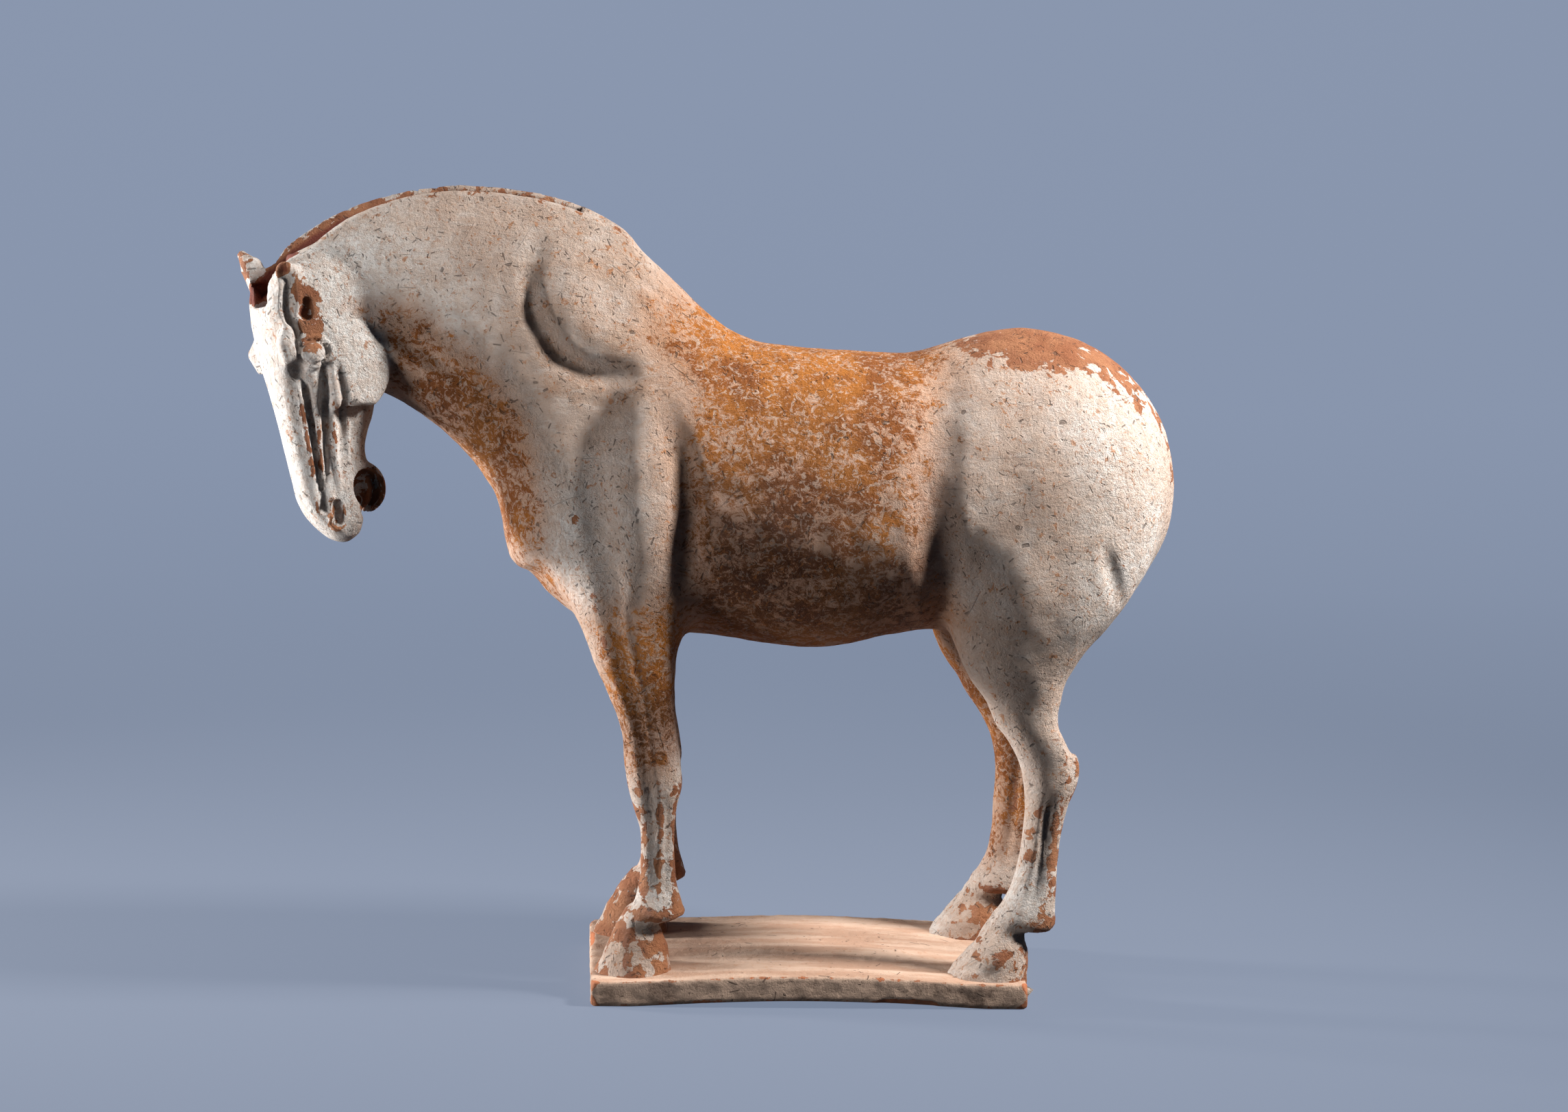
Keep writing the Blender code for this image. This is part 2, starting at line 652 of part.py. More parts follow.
def add_strokes(clay):
    for path in (
        # The folds from the eye to the nostril, ridges and grooves by turns.
        (
            (80, -1.4, 2.4, 0), (88, -2.0, 2.6, 1.4), (112, -2.5, 2.6, 1.9), (136, -2.9, 2.5, 1.7),
            (149, -2.1, 2.4, 0),
        ),
        (
            (76, -4.8, 2.4, 0), (86, -6.2, 3.0, -3.0), (108, -6.7, 3.0, -4.2),
            (124, -6.1, 2.8, -4.2), (140, -5.2, 2.8, -3.4), (148, -5, 2.6, -2),
        ),
        (
            (72, -11.5, 4.4, 0.2), (82, -12.0, 4.2, 1.6), (100, -11.2, 3.2, 2.6),
            (118, -9.4, 2.4, 2.4), (134, -8.4, 2.0, 1.8), (143, -7, 1.8, 0),
        ),
        (
            (76, -18.6, 2.0, 0), (88, -17.6, 2.4, -2.8), (101, -15.6, 2.4, -3.2),
            (119, -13.3, 2.2, -3.0), (133, -11.2, 2.2, -2.6), (145, -9, 2.2, -1),
        ),
        (
            (74, -22.4, 3.0, 0.4), (93, -21.4, 3.4, 2.2), (111, -19.4, 3.6, 2.6),
            (130, -17.8, 3.4, 2.2), (146, -17.2, 3.0, 1.6), (156, -16, 2.4, 0),
        ),
        (
            (70, -26.0, 3.0, 0), (80, -26.2, 3.6, -2.6), (92, -26.6, 3.6, -3.2),
            (104, -26.6, 3.2, -2.8), (118, -24.6, 2.8, -1.6), (134, -22, 2.6, 0),
        ),
        ((104, -30.8, 2.4, 0), (112, -30.0, 2.6, 1.1), (128, -27.2, 2.6, 1.0), (138, -27, 2.4, 0)),
        # The slit between the brow and the eye.
        ((46, -6.2, 1.8, 0), (51, -4.9, 2.2, -2.6), (58, -3.3, 2.2, -3.2), (65, -2.6, 2.0, -1.2)),
        # The corner below the eye.
        ((70, -17.6, 1.8, -0.5), (74, -17.7, 2.2, -2.6), (79, -17.7, 1.8, 0)),
        # The line under the cheek.
        ((98, -26, 1.8, -0.8), (101.5, -31, 1.8, -1.6), (104.5, -46, 1.8, -1.2)),
        # In front of the ear and down to the brow.
        (
            (12, -8.5, 4, -1.0), (21, -6.2, 5, -3.8), (34, -3.4, 5, -4.6), (43, -3.2, 4.6, -4.2),
            (49, -4.4, 3.2, -2.0), (53, -5.5, 2.4, 0),
        ),
    ):
        stroke_on_head(clay, path)
    # The rims of the slot stand a little lower than the forehead beside them.
    stroke_on_face(clay, ((4, 12.5, 5, -1.6), (30, 12.5, 5, -2.0), (36, 11, 4, 0)))
    for path in (
        # The round shoulder mass below the withers, the crease round it and the crack above it.
        (
            (-172, 488, 10, 0), (-182, 462, 11, -3.4), (-183, 442, 11, -5.6), (-174, 420, 12, -7.0),
            (-157, 402, 12, -7.0), (-140, 396, 12, -5.4), (-125, 398, 12, -2.6), (-110, 400, 12, 0),
        ),
        (
            (-164, 482, 22, 0), (-163, 456, 26, 3.6), (-152, 430, 26, 6.0), (-134, 420, 26, 5.6),
            (-112, 428, 28, 2.4), (-96, 438, 28, 0),
        ),
        ((-132, 466, 2.4, 0), (-117, 456, 2.6, -1.4), (-98, 440, 2.4, -1.0), (-92, 434, 2, 0)),
        # The furrow along the throat.
        ((-290, 420, 8, 0), (-268, 416, 9, -2.6), (-244, 402, 10, -2.6), (-216, 382, 11, 0)),
        ((-280, 410, 8, 0), (-256, 400, 8, 2.0), (-232, 388, 8, 1.8), (-212, 376, 8, 0)),
        # The shoulder blade and the arm under it.
        (
            (-108, 388, 12, 0), (-92, 358, 14, -3.0), (-85, 324, 15, -3.8), (-87, 290, 15, -3.2),
            (-92, 256, 12, 0),
        ),
        (
            (-146, 372, 14, 0), (-145, 344, 15, -2.8), (-138, 304, 15, -3.4),
            (-130, 262, 12, -2.6), (-128, 232, 9, -1.0),
        ),
        ((-120, 366, 20, 0.5), (-116, 334, 24, 4.4), (-112, 290, 22, 3.4), (-110, 246, 16, 0)),
        # The haunch in front and the thigh behind.
        (
            (84, 408, 18, 0), (72, 376, 22, -3.4), (68, 332, 22, -4.6), (72, 290, 20, -4.6),
            (80, 250, 15, -2.0), (84, 226, 10, 0),
        ),
        ((177, 303, 6, 0), (179, 288, 8, -2.6), (185, 270, 8, -2.2), (190, 256, 6, 0)),
        ((116, 306, 28, 0.5), (124, 270, 26, 2.6), (128, 236, 18, 0)),
        # The tendon behind each cannon bone and the hollow above each hock.
        ((156, 196, 5, 0), (157, 180, 5, -2.5), (163, 162, 5, -3.0), (164, 148, 4, -1.0)),
        (
            (152, 140, 4.5, 0), (149, 124, 4.5, -3.0), (147, 100, 4.5, -3.0), (143, 74, 5, -2.5),
            (138, 58, 5, -0.5),
        ),
        (
            (-126, 250, 8, 0), (-124, 224, 9, -2.5), (-114, 190, 7, -3.0), (-108, 160, 5, -2.5),
            (-103, 130, 4.5, -2.5), (-101, 100, 4, -2.0), (-100, 66, 5, -1.0),
        ),
        (
            (-93, 132, 3.5, 0), (-92, 116, 3.5, -2.2), (-92, 96, 3.5, -2.2), (-92, 70, 4, -1.5),
            (-90, 60, 4, 0),
        ),
    ):
        stroke_on_side(clay, path)


def wide_of_slot():
    return FOREHEAD_SLOT_WIDTH / 2


def add_slots(clay):
    neck = curve(NECK)

    def mane(x, y, z):
        radius = np.hypot(x - NECK_HUB[0], z - NECK_HUB[1])
        angle = np.degrees(np.arctan2(z - NECK_HUB[1], x - NECK_HUB[0]))
        crest, _, shift = neck(angle)[1:4]
        walls = np.abs(y - shift) - MANE_SLOT_WIDTH / 2
        floor = crest - MANE_SLOT_DEPTH - radius
        ends = np.maximum(74 - angle, angle - 122) * 4.5
        return np.maximum(np.maximum(walls, floor), ends)

    clay.cut(mane, (-360, -45, 420), (-130, 15, 530), 0.8)

    def forelock(x, y, z):
        place, ahead, side = in_head(x, y, z)
        wide = wide_of_slot()
        walls = np.abs(side) - wide
        past_end = np.maximum(place - FOREHEAD_SLOT_END + 3, 0)
        past_side = np.maximum(np.abs(side) - wide + 3, 0)
        end = np.hypot(past_end, past_side) - 3
        deep = -19.0 - ahead
        return np.maximum(np.maximum(walls, end), deep)

    clay.cut(forelock, *head_box((-24, -19, -wide_of_slot()), (34, 14, wide_of_slot())), 0.8)
    clay.cut(
        rod([(236, 0, 360), (222 - TAIL_SOCKET_DEPTH, 0, 352)], (TAIL_SOCKET_WIDTH / 2,) * 2),
        (196, -10, 340),
        (240, 10, 370),
        1.0,
    )


def figure():
    clay = Clay()
    add_body(clay)
    add_legs(clay)
    add_head(clay)
    add_strokes(clay)
    add_slots(clay)
    return clay


def sampled(clay, low, high, step):
    """Distances on a grid, worked out only in the blocks that the surface crosses."""
    low = np.array(low, float)
    counts = np.ceil((np.array(high, float) - low) / (step * BLOCK)).astype(int)
    size = counts * BLOCK + 1
    values = np.empty(size, np.float32)
    middles = np.stack(np.meshgrid(*[np.arange(n) for n in counts], indexing="ij"), -1).reshape(-1, 3)
    centres = low + (middles + 0.5) * BLOCK * step
    rough = clay.distance(*centres.T, low, high, skip=False)
    offsets = np.arange(BLOCK + 1) * step
    for block, centre, near in zip(middles, centres, rough):
        first = block * BLOCK
        where = tuple(slice(i, i + BLOCK + 1) for i in first)
        if abs(near) > BLOCK * step * 1.25 + 6:
            values[where] = near
    for block, centre, near in zip(middles, centres, rough):
        if abs(near) > BLOCK * step * 1.25 + 6:
            continue
        first = block * BLOCK
        corner = low + first * step
        x, y, z = np.meshgrid(*[corner[i] + offsets for i in range(3)], indexing="ij")
        where = tuple(slice(i, i + BLOCK + 1) for i in first)
        values[where] = clay.distance(x, y, z, corner, corner + BLOCK * step)
    return values


def untangled(values):
    """Fills the few grid faces where two sheets of surface would share a point."""
    for _ in range(12):
        inside = values < 0
        found = 0
        for axis in range(3):
            a, b = [k for k in range(3) if k != axis]

            def part(i, j):
                pick = [slice(None)] * 3
                pick[a] = slice(1, None) if i else slice(None, -1)
                pick[b] = slice(1, None) if j else slice(None, -1)
                return tuple(pick)

            s00, s01, s10, s11 = (inside[part(i, j)] for i in (0, 1) for j in (0, 1))
            crossed = (s00 == s11) & (s01 == s10) & (s00 != s01)
            found += int(crossed.sum())
            for i in (0, 1):
                for j in (0, 1):
                    view = values[part(i, j)]
                    view[crossed] = np.minimum(view[crossed], -0.02)
        if not found:
            break
    return values


def netted(values, low, step):
    """One point in each grid cell that the surface crosses, and one quad for each crossed grid edge."""
    inside = values < 0
    corner = [(i, j, k) for i in (0, 1) for j in (0, 1) for k in (0, 1)]
    nx, ny, nz = (n - 1 for n in values.shape)
    held = np.zeros((nx, ny, nz), np.int8)
    for i, j, k in corner:
        held += inside[i : i + nx, j : j + ny, k : k + nz]
    crossed = (held > 0) & (held < 8)
    number = np.full(crossed.shape, -1, np.int32)
    cells = np.argwhere(crossed)
    number[crossed] = np.arange(len(cells))
    total = np.zeros((len(cells), 3))
    count = np.zeros(len(cells))
    for a in corner:
        for axis in range(3):
            if a[axis]:
                continue
            b = list(a)
            b[axis] = 1
            va = values[tuple((cells + a).T)].astype(float)
            vb = values[tuple((cells + b).T)].astype(float)
            cross = (va < 0) != (vb < 0)
            t = np.where(cross, va / np.where(cross, va - vb, 1), 0)
            spot = np.array(a, float) + np.outer(t, np.eye(3)[axis])
            total[cross] += spot[cross]
            count[cross] += 1
    points = (cells + total / count[:, None]) * step + np.array(low, float)
    quads = []
    for axis in range(3):
        pick = [slice(1, -1)] * 3
        pick[axis] = slice(None, -1)
        after = [slice(1, -1)] * 3
        after[axis] = slice(1, None)
        first, second = inside[tuple(pick)], inside[tuple(after)]
        u, v = [(axis + k) % 3 for k in (1, 2)]
        for flip, where in ((False, first & ~second), (True, second & ~first)):
            at = np.argwhere(where)
            at += [0 if k == axis else 1 for k in range(3)]
            ring = []
            for du, dv in ((-1, -1), (0, -1), (0, 0), (-1, 0)):
                move = np.zeros(3, int)
                move[u], move[v] = du, dv
                ring.append(number[tuple((at + move).T)])
            quads.append(np.stack(ring[::-1] if flip else ring, -1))
    return points, np.concatenate(quads)


def mesh_object(name, points, faces):
    mesh = bpy.data.meshes.new(name)
    mesh.from_pydata((np.asarray(points) * MM).tolist(), [], np.asarray(faces).tolist())
    mesh.update()
    obj = bpy.data.objects.new(name, mesh)
    bpy.context.scene.collection.objects.link(obj)
    return obj


def settled(obj, modifier):
    """Makes the result of the modifier the object's own mesh."""
    bpy.context.view_layer.update()
    graph = bpy.context.evaluated_depsgraph_get()
    made = bpy.data.meshes.new_from_object(obj.evaluated_get(graph))
    obj.modifiers.remove(modifier)
    obj.data = made
    return obj


def gaps(clay, points):
    """How far each point stands out of the clay."""
    return clay.distance(*points.T, None, None, skip=False)


def onto(clay, points, step=0.2):
    """The points, each moved along the field's slope onto the clay's skin."""
    away = gaps(clay, points)
    slope = np.stack([(gaps(clay, points + step * axis) - away) / step for axis in np.eye(3)], axis=1)
    slope /= np.maximum(np.linalg.norm(slope, axis=1, keepdims=True), 0.3)
    return points - slope * away[:, None]


def drawn_back(obj, clay):
    """Puts the corners that the thinning left off the clay back onto it, and splits the edges that stand off."""
    body = bmesh.new()
    body.from_mesh(obj.data)
    corners = list(body.verts)
    for _ in range(2):
        points = np.array([v.co for v in corners]) / MM
        off = np.abs(gaps(clay, points)) > CORNER_OFF
        for vert, point in zip([v for v, far in zip(corners, off) if far], onto(clay, points[off])):
            vert.co = point * MM
        edges = list(body.edges)
        middles = np.array([(e.verts[0].co + e.verts[1].co) / 2 for e in edges]) / MM
        far = [e for e, gap in zip(edges, np.abs(gaps(clay, middles))) if gap > EDGE_OFF]
        made = bmesh.ops.subdivide_edges(body, edges=far, cuts=1)["geom_inner"]
        corners = [v for v in made if isinstance(v, bmesh.types.BMVert)]
    bmesh.ops.triangulate(body, faces=[f for f in body.faces if len(f.verts) > 3])
    body.to_mesh(obj.data)
    body.free()


def horse():
    low, high = (-380.0, -112.0, 0.0), (250.0, 112.0, 520.0)
    clay = figure()
    values = untangled(sampled(clay, low, high, GRID))
    points, quads = netted(values, low, GRID)
    obj = mesh_object(NAME, points, quads)
    kept = obj.vertex_groups.new(name="finer")
    place = in_head(*points.T)[0]
    legs = (points[:, 2] < 175) * 0.35
    near_face = np.linalg.norm(points - from_head(90, -25, 0), axis=1) < 118
    on_head = (points[:, 0] < -268) & (place > -14) & near_face
    socket = np.linalg.norm(points - (222, 0, 354), axis=1) < 22
    weight = np.maximum(legs, np.maximum(on_head, socket) * 0.9)
    for level in (0.35, 0.9):
        kept.add([int(i) for i in np.flatnonzero(weight == level)], level, "REPLACE")
    thin = obj.modifiers.new("thin", "DECIMATE")
    thin.ratio = TRIANGLES / (2 * len(quads))
    thin.vertex_group = "finer"
    thin.invert_vertex_group = True
    thin.vertex_group_factor = 0.45
    thin.use_collapse_triangulate = True
    drawn_back(settled(obj, thin), clay)
    return obj


def slab():
    """The slab, arched between two level landings, with its edges taken off."""
    half, wide = SLAB_LENGTH / 2, SLAB_WIDTH / 2
    ends = half - SLAB_LANDING
    stops = [-half, *np.linspace(-ends, ends, 17), half]
    rings = []
    for x in stops:
        lift = SLAB_RISE * max(0.0, 1 - (x / ends) ** 2) ** 1.3 if abs(x) < ends else 0.0
        corners = ((-wide, 0), (wide, 0), (wide, SLAB_THICK), (-wide, SLAB_THICK))
        rings.append([(x, y, z + lift) for y, z in corners])
    points = [p for ring in rings for p in ring]
    faces = [(0, 1, 2, 3), tuple(len(points) - 4 + k for k in (3, 2, 1, 0))]
    for i in range(len(rings) - 1):
        for k in range(4):
            a, b = 4 * i + k, 4 * i + (k + 1) % 4
            faces.append((a, a + 4, b + 4, b))
    obj = mesh_object("slab", points, faces)
    body = bmesh.new()
    body.from_mesh(obj.data)
    bmesh.ops.recalc_face_normals(body, faces=body.faces)
    sharp = [e for e in body.edges if e.calc_face_angle(0) > math.radians(60)]
    bmesh.ops.bevel(body, geom=sharp, offset=SLAB_BEVEL * MM, segments=2, profile=0.5, affect="EDGES")
    body.to_mesh(obj.data)
    body.free()
    return obj


def fired_clay():
    """Buff-white slip over orange clay, as one even colour."""
    clay = bpy.data.materials.new("fired_clay")
    clay.use_nodes = True
    surface = clay.node_tree.nodes["Principled BSDF"]
    surface.inputs["Base Color"].default_value = (0.53, 0.41, 0.30, 1)
    surface.inputs["Roughness"].default_value = 0.86
    surface.inputs["Metallic"].default_value = 0.0
    return clay


def main():
    for obj in list(bpy.data.objects):
        bpy.data.objects.remove(obj)
    figure_part = horse()
    base = slab()
    joined = figure_part.modifiers.new("stand", "BOOLEAN")
    joined.operation = "UNION"
    joined.solver = "EXACT"
    joined.object = base
    settled(figure_part, joined)
    bpy.data.objects.remove(base)
    figure_part.data.materials.clear()
    figure_part.data.materials.append(fired_clay())
    spots = [v.co for v in figure_part.data.vertices]
    middle = [(min(s[i] for s in spots) + max(s[i] for s in spots)) / 2 for i in (0, 1)]
    for vertex in figure_part.data.vertices:
        vertex.co.x -= middle[0]
        vertex.co.y -= middle[1]


main()
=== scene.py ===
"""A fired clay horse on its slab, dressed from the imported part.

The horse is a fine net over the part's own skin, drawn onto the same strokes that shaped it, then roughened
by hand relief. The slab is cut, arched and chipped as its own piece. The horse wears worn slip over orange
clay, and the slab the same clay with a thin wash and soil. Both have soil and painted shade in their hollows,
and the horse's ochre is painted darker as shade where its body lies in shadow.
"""

import math
from functools import partial

import bmesh
import bpy
import numpy as np
from mathutils import Matrix, Vector, noise


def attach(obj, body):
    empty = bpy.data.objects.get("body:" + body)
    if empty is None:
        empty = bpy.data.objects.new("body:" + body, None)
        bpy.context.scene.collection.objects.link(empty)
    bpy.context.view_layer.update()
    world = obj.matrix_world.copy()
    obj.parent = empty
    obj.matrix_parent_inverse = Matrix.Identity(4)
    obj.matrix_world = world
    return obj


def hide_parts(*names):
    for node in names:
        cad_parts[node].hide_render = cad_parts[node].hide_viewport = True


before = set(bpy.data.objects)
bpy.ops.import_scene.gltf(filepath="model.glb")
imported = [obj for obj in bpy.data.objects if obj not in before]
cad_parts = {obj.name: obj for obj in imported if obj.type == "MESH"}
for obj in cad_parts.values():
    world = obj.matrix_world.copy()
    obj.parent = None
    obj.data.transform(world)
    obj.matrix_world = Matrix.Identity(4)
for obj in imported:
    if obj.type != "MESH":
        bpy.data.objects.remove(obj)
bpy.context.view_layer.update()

bl_info = {
    "name": "Fired clay horse",
    "version": (1, 0, 0),
    "blender": (4, 5, 0),
    "location": "View3D > Sidebar > Clay horse",
    "description": "Models a slip-covered fired clay horse and its slab around the packed part",
    "category": "Object",
}

NODE = "terracotta_horse"
MM = 0.001

# How far each hoof runs down into the slab, in millimetres.
HOOF_IN_SLAB = 6.0

# The head lies before this x in the figure, and past these places above its poll and behind its jaw.
HEAD_REAR = -262.0
ABOVE_POLL = -14.0
BEHIND_JAW = -62.0

# The part of the head that gets a finer net: its middle down, ahead and aside, and its reach.
HEAD_MIDDLE = (90, -25, 0)
HEAD_REACH = 116.0

# The clay's distance is worked out in blocks this wide. A net is drawn onto it by at most so much at a time,
# and a point above the slab that still strays farther off is ironed flat.
BLOCK = 26.0
FARTHEST_PUSH = 2.0
STRAY = 0.8
ABOVE_SLAB = 30.0

# The studio's floor and backdrop in metres, the spread of its lights in degrees, and the share of the paper's
# colour that answers the lights, while the rest of its tone is the even glow.
FLOOR_REACH = 4.0
BACKDROP_HEIGHT = 5.0
BACKDROP_BEND = 2.2
LIGHT_SPREAD = 70.0
FLOOR_RETURN = 0.1

SLAB_LENGTH = 277.0
SLAB_WIDTH = 160.0
SLAB_THICK = 16.5
SLAB_RISE = 4.2
SLAB_LANDING = 24.0
SLAB_BEVEL = 1.6

MANE_SLOT_WIDTH = 14.0
MANE_SLOT_DEPTH = 12.0
FOREHEAD_SLOT_HALF = 23.0 / 2
FOREHEAD_SLOT_END = 31.0
TAIL_SOCKET_WIDTH = 13.0
TAIL_SOCKET_DEPTH = 14.0

# How far the near rim of the mane slot is worn below the far one: angle round the neck hub, drop.
WORN_RIM = ((70, 0.0), (76, 0.7), (92, 1.0), (101, 1.8), (106, 3.2), (110, 6.0), (114, 10.0), (119, 14.0))

HEAD_TURN = 27.0
HEAD_TUCK = 10.0
HEAD_TIP = 7.0
HEAD_TOP = (-352.8, -31.0, 463.0)

NECK_HUB = (-227.0, 238.0)

# Along the belly: place, back, belly, half width.
BARREL = (
    (-140, 418, 236, 80),
    (-90, 420, 230, 86),
    (-50, 416, 225, 89),
    (-15, 412.5, 220.5, 90),
    (20, 410.5, 222, 90),
    (50, 409.5, 229, 88),
    (80, 410, 235, 85),
    (110, 410, 243, 80),
    (140, 408, 255, 72),
)

# Degrees above level round the neck hub: throat, crest, half width, sideways shift, narrowing to the crest.
NECK = (
    (36, 40, 228, 62, 0, 0.3),
    (49, 52, 245, 62, 0, 0.3),
    (60, 62, 255, 58, 0, 0.3),
    (71, 77, 266.5, 53, 0, 0.28),
    (82, 93, 269.5, 47, 0, 0.25),
    (92, 110, 269, 41.5, -0.5, 0.16),
    (101.5, 131, 265.5, 37, -3.5, 0.0),
    (109, 148, 260, 32, -8, -0.16),
    (115, 162, 254, 28, -13, -0.26),
    (122, 174, 246, 24, -18, -0.3),
)

# Up a foreleg: height, front, back, inner side, outer side.
FORELEG = (
    (10, -134, -84, 27, 73),
    (49, -118, -90, 37, 65),
    (54, -115.5, -80, 34.5, 67.5),
    (60, -112, -81, 36.5, 65.5),
    (72, -109, -84.5, 39.5, 62.5),
    (88, -108, -86.5, 41, 61),
    (108, -109, -87, 40.5, 61.5),
    (122, -113, -86, 38.5, 63.5),
    (138, -117.5, -83, 36, 66.5),
    (150, -119.5, -84, 35.5, 67),
    (168, -121, -86.5, 34, 69),
    (190, -128.5, -88.5, 30, 73),
    (211, -138, -88.5, 24, 78),
    (235, -147, -86, 16, 82),
    (262, -157, -78, 12, 83),
    (300, -164, -74, 12, 80),
    (335, -156, -78, 16, 70),
    (370, -146, -84, 20, 56),
)

# Up a hind leg: height, front, back, inner side, outer side.
HINDLEG = (
    (44, 118, 152, 36, 68),
    (50, 117.5, 157.5, 34.5, 69.5),
    (58, 121, 157.5, 35.5, 69),
    (72, 128, 157.5, 38, 67),
    (91, 133, 158, 40, 65),
    (109, 135, 159.5, 40, 65),
    (126, 136, 163, 39, 66),
    (141, 134.5, 168.5, 38, 67),
    (155, 131, 169.5, 37.5, 68),
    (168, 124, 164, 36, 70),
    (181, 115, 157, 33, 72),
    (193, 109, 156, 30, 74),
    (208, 98, 159, 24, 78),
    (227, 89, 171, 17, 82),
    (249, 84, 190, 12, 85),
    (275, 82, 205, 9, 85),
    (310, 86, 212, 8, 80),
    (345, 100, 205, 10, 70),
    (380, 112, 190, 14, 54),
)

# Up a hoof, from the slab: height, front, back, inner side, outer side.
FORE_HOOF = (
    (8, -136, -84, 26, 74),
    (17, -135.5, -87, 28, 72.5),
    (28, -131, -89.5, 30.5, 70),
    (38, -126.5, -93, 33.5, 67.5),
    (48, -122, -96, 37, 64.5),
    (56, -117, -97, 39, 62.5),
)
HIND_HOOF = (
    (8, 86, 141, 30, 78),
    (17, 90, 141, 31, 76.5),
    (28, 98, 141, 33, 74),
    (38, 106.5, 140, 36, 71),
    (48, 114, 137, 39, 67.5),
    (58, 120, 134, 41, 64.5),
)

# How far each leg on the far side stands from its twin, up from the ground: height, shift along the body.
FAR_FORE_SHIFT = ((0, 0), (30, 1), (60, 4.5), (110, 4.5), (160, 2), (230, 0), (400, 0))
FAR_HIND_SHIFT = ((0, -1), (40, -1), (70, -1.5), (110, -5), (200, -6.5), (250, -4), (320, 0), (400, 0))

# Down the head from the poll: place, face line, throat line, half width, narrowing to the face line.
FACE = (
    (3, -16, -30, 8, 0.0),
    (8, -6, -39, 19, 0.0),
    (15, 1.5, -45, 26.5, 0.0),
    (24, 5.5, -49, 30, 0.0),
    (36, 7.5, -50, 31, 0.0),
    (52, 8.3, -48, 30, 0.04),
    (66, 8.5, -45, 27.5, 0.08),
    (84, 7.8, -42, 22.5, 0.14),
    (104, 7.0, -39, 19.0, 0.16),
    (122, 6.4, -34.5, 17.0, 0.16),
    (141, 5.5, -31, 15.8, 0.14),
    (156, 4.3, -32, 15.8, 0.1),
    (167, 0, -32.5, 15.6, 0.05),
    (176, -6.5, -30.5, 14.0, 0.0),
    (182, -12, -26.5, 10, 0.0),
    (185, -16, -22, 5, 0.0),
)

# Down the lower jaw: place, upper line, lower line, half width.
JAW = (
    (56, -18, -56, 22),
    (84, -22, -59, 20),
    (100, -24, -56.5, 17.5),
    (111, -24, -52.5, 15.5),
    (120, -22, -47.5, 13.5),
    (130, -22, -43.5, 12.5),
    (141, -24, -43.5, 12),
    (152, -28, -45, 11),
)

CHEEK = (76.0, -30.0)
CHEEK_RADIUS = 32.0
CHEEK_FOOT = 101.2
EYE = (63.8, -12.3, 24.5)
EYE_RADII = (7.9, 7.9, 6.4)
CHIN = (153.5, -34.8)
CHIN_SPREAD = (16.8, 15.3)
MOUTH = (154.5, -36.5)
MOUTH_SPREAD = (12.6, 10.2)

# A level function's slope is taken over STEP millimetres. Where it is nearly flat, one level is FARTHEST away.
STEP = 0.3
FARTHEST = 70

# The distance before the first step, and how far past its box a step still counts, in millimetres.
FAR_AWAY = 500.0
BOX_ROOM = 9.0

# The length of one degree of the neck's arc, in millimetres.
DEGREE = 4.5

# The lower jaw widens towards the face by this share.
JAW_NARROWING = -0.1


def curve(knots):
    """Smooth columns through knots: a function of the first column that gives the others."""
    table = np.array(knots, float)
    at, rows = table[:, 0], table[:, 1:]
    slopes = np.gradient(rows, at, axis=0)
    fine = np.linspace(at[0], at[-1], 400)
    left = np.clip(np.searchsorted(at, fine, side="right") - 1, 0, len(at) - 2)
    span = (at[left + 1] - at[left])[:, None]
    t = (fine - at[left])[:, None] / span
    smooth = (
        (2 * t**3 - 3 * t**2 + 1) * rows[left]
        + (t**3 - 2 * t**2 + t) * span * slopes[left]
        + (3 * t**2 - 2 * t**3) * rows[left + 1]
        + (t**3 - t**2) * span * slopes[left + 1]
    )
    return lambda where: [np.interp(where, fine, column) for column in smooth.T]


neck_at = curve(NECK)


def blend_min(a, b, soft):
    mix = np.clip(0.5 + 0.5 * (b - a) / soft, 0, 1)
    return b + (a - b) * mix - soft * mix * (1 - mix)


def blend_max(a, b, soft):
    return -blend_min(-a, -b, soft)


def measured(level):
    """Turns any level function into a distance, by its own slope."""

    def field(x, y, z):
        here = level(x, y, z)
        slope = np.sqrt(
            (level(x + STEP, y, z) - here) ** 2
            + (level(x, y + STEP, z) - here) ** 2
            + (level(x, y, z + STEP) - here) ** 2
        )
        return here * STEP / np.maximum(slope, STEP / FARTHEST)

    return field


def egg(u, v, power=2.0):
    return (np.abs(u) ** power + np.abs(v) ** power) ** (1 / power) - 1


def centred(value, low, high):
    """-1 where value is at low, 1 where it is at high."""
    return (value - (high + low) / 2) / ((high - low) / 2)


def ellipsoid(centre, radii):
    def field(x, y, z):
        u = [(c - m) / r for c, m, r in zip((x, y, z), centre, radii)]
        near = np.sqrt(sum(c * c for c in u)) + 1e-6
        slope = np.sqrt(sum((c / r) ** 2 for c, r in zip(u, radii))) + 1e-6
        return near * (near - 1) / slope

    return field


def rod(points, radii):
    """A round rod along a path, its radius running from one to the next."""
    path = [np.array(point, float) for point in points]

    def field(x, y, z):
        best = np.inf
        for start, end, first, last in zip(path, path[1:], radii, radii[1:]):
            along = end - start
            parts = (x - start[0], y - start[1], z - start[2])
            t = np.clip(sum(p * a for p, a in zip(parts, along)) / (along @ along), 0, 1)
            gap = np.sqrt(sum((p - t * a) ** 2 for p, a in zip(parts, along)))
            best = np.minimum(best, gap - (first + (last - first) * t))
        return best

    return field


def flowing(path):
    """The same path with its corners rounded, as a tool's stroke has them."""
    rows = np.array(path, float)
    steps = np.hypot(*np.diff(rows[:, :2], axis=0).T)
    run = np.concatenate([[0], np.cumsum(steps)])
    through = curve(np.column_stack([run, rows]))
    return np.stack(through(np.linspace(0, run[-1], 5 * (len(rows) - 1) + 1)), axis=1)


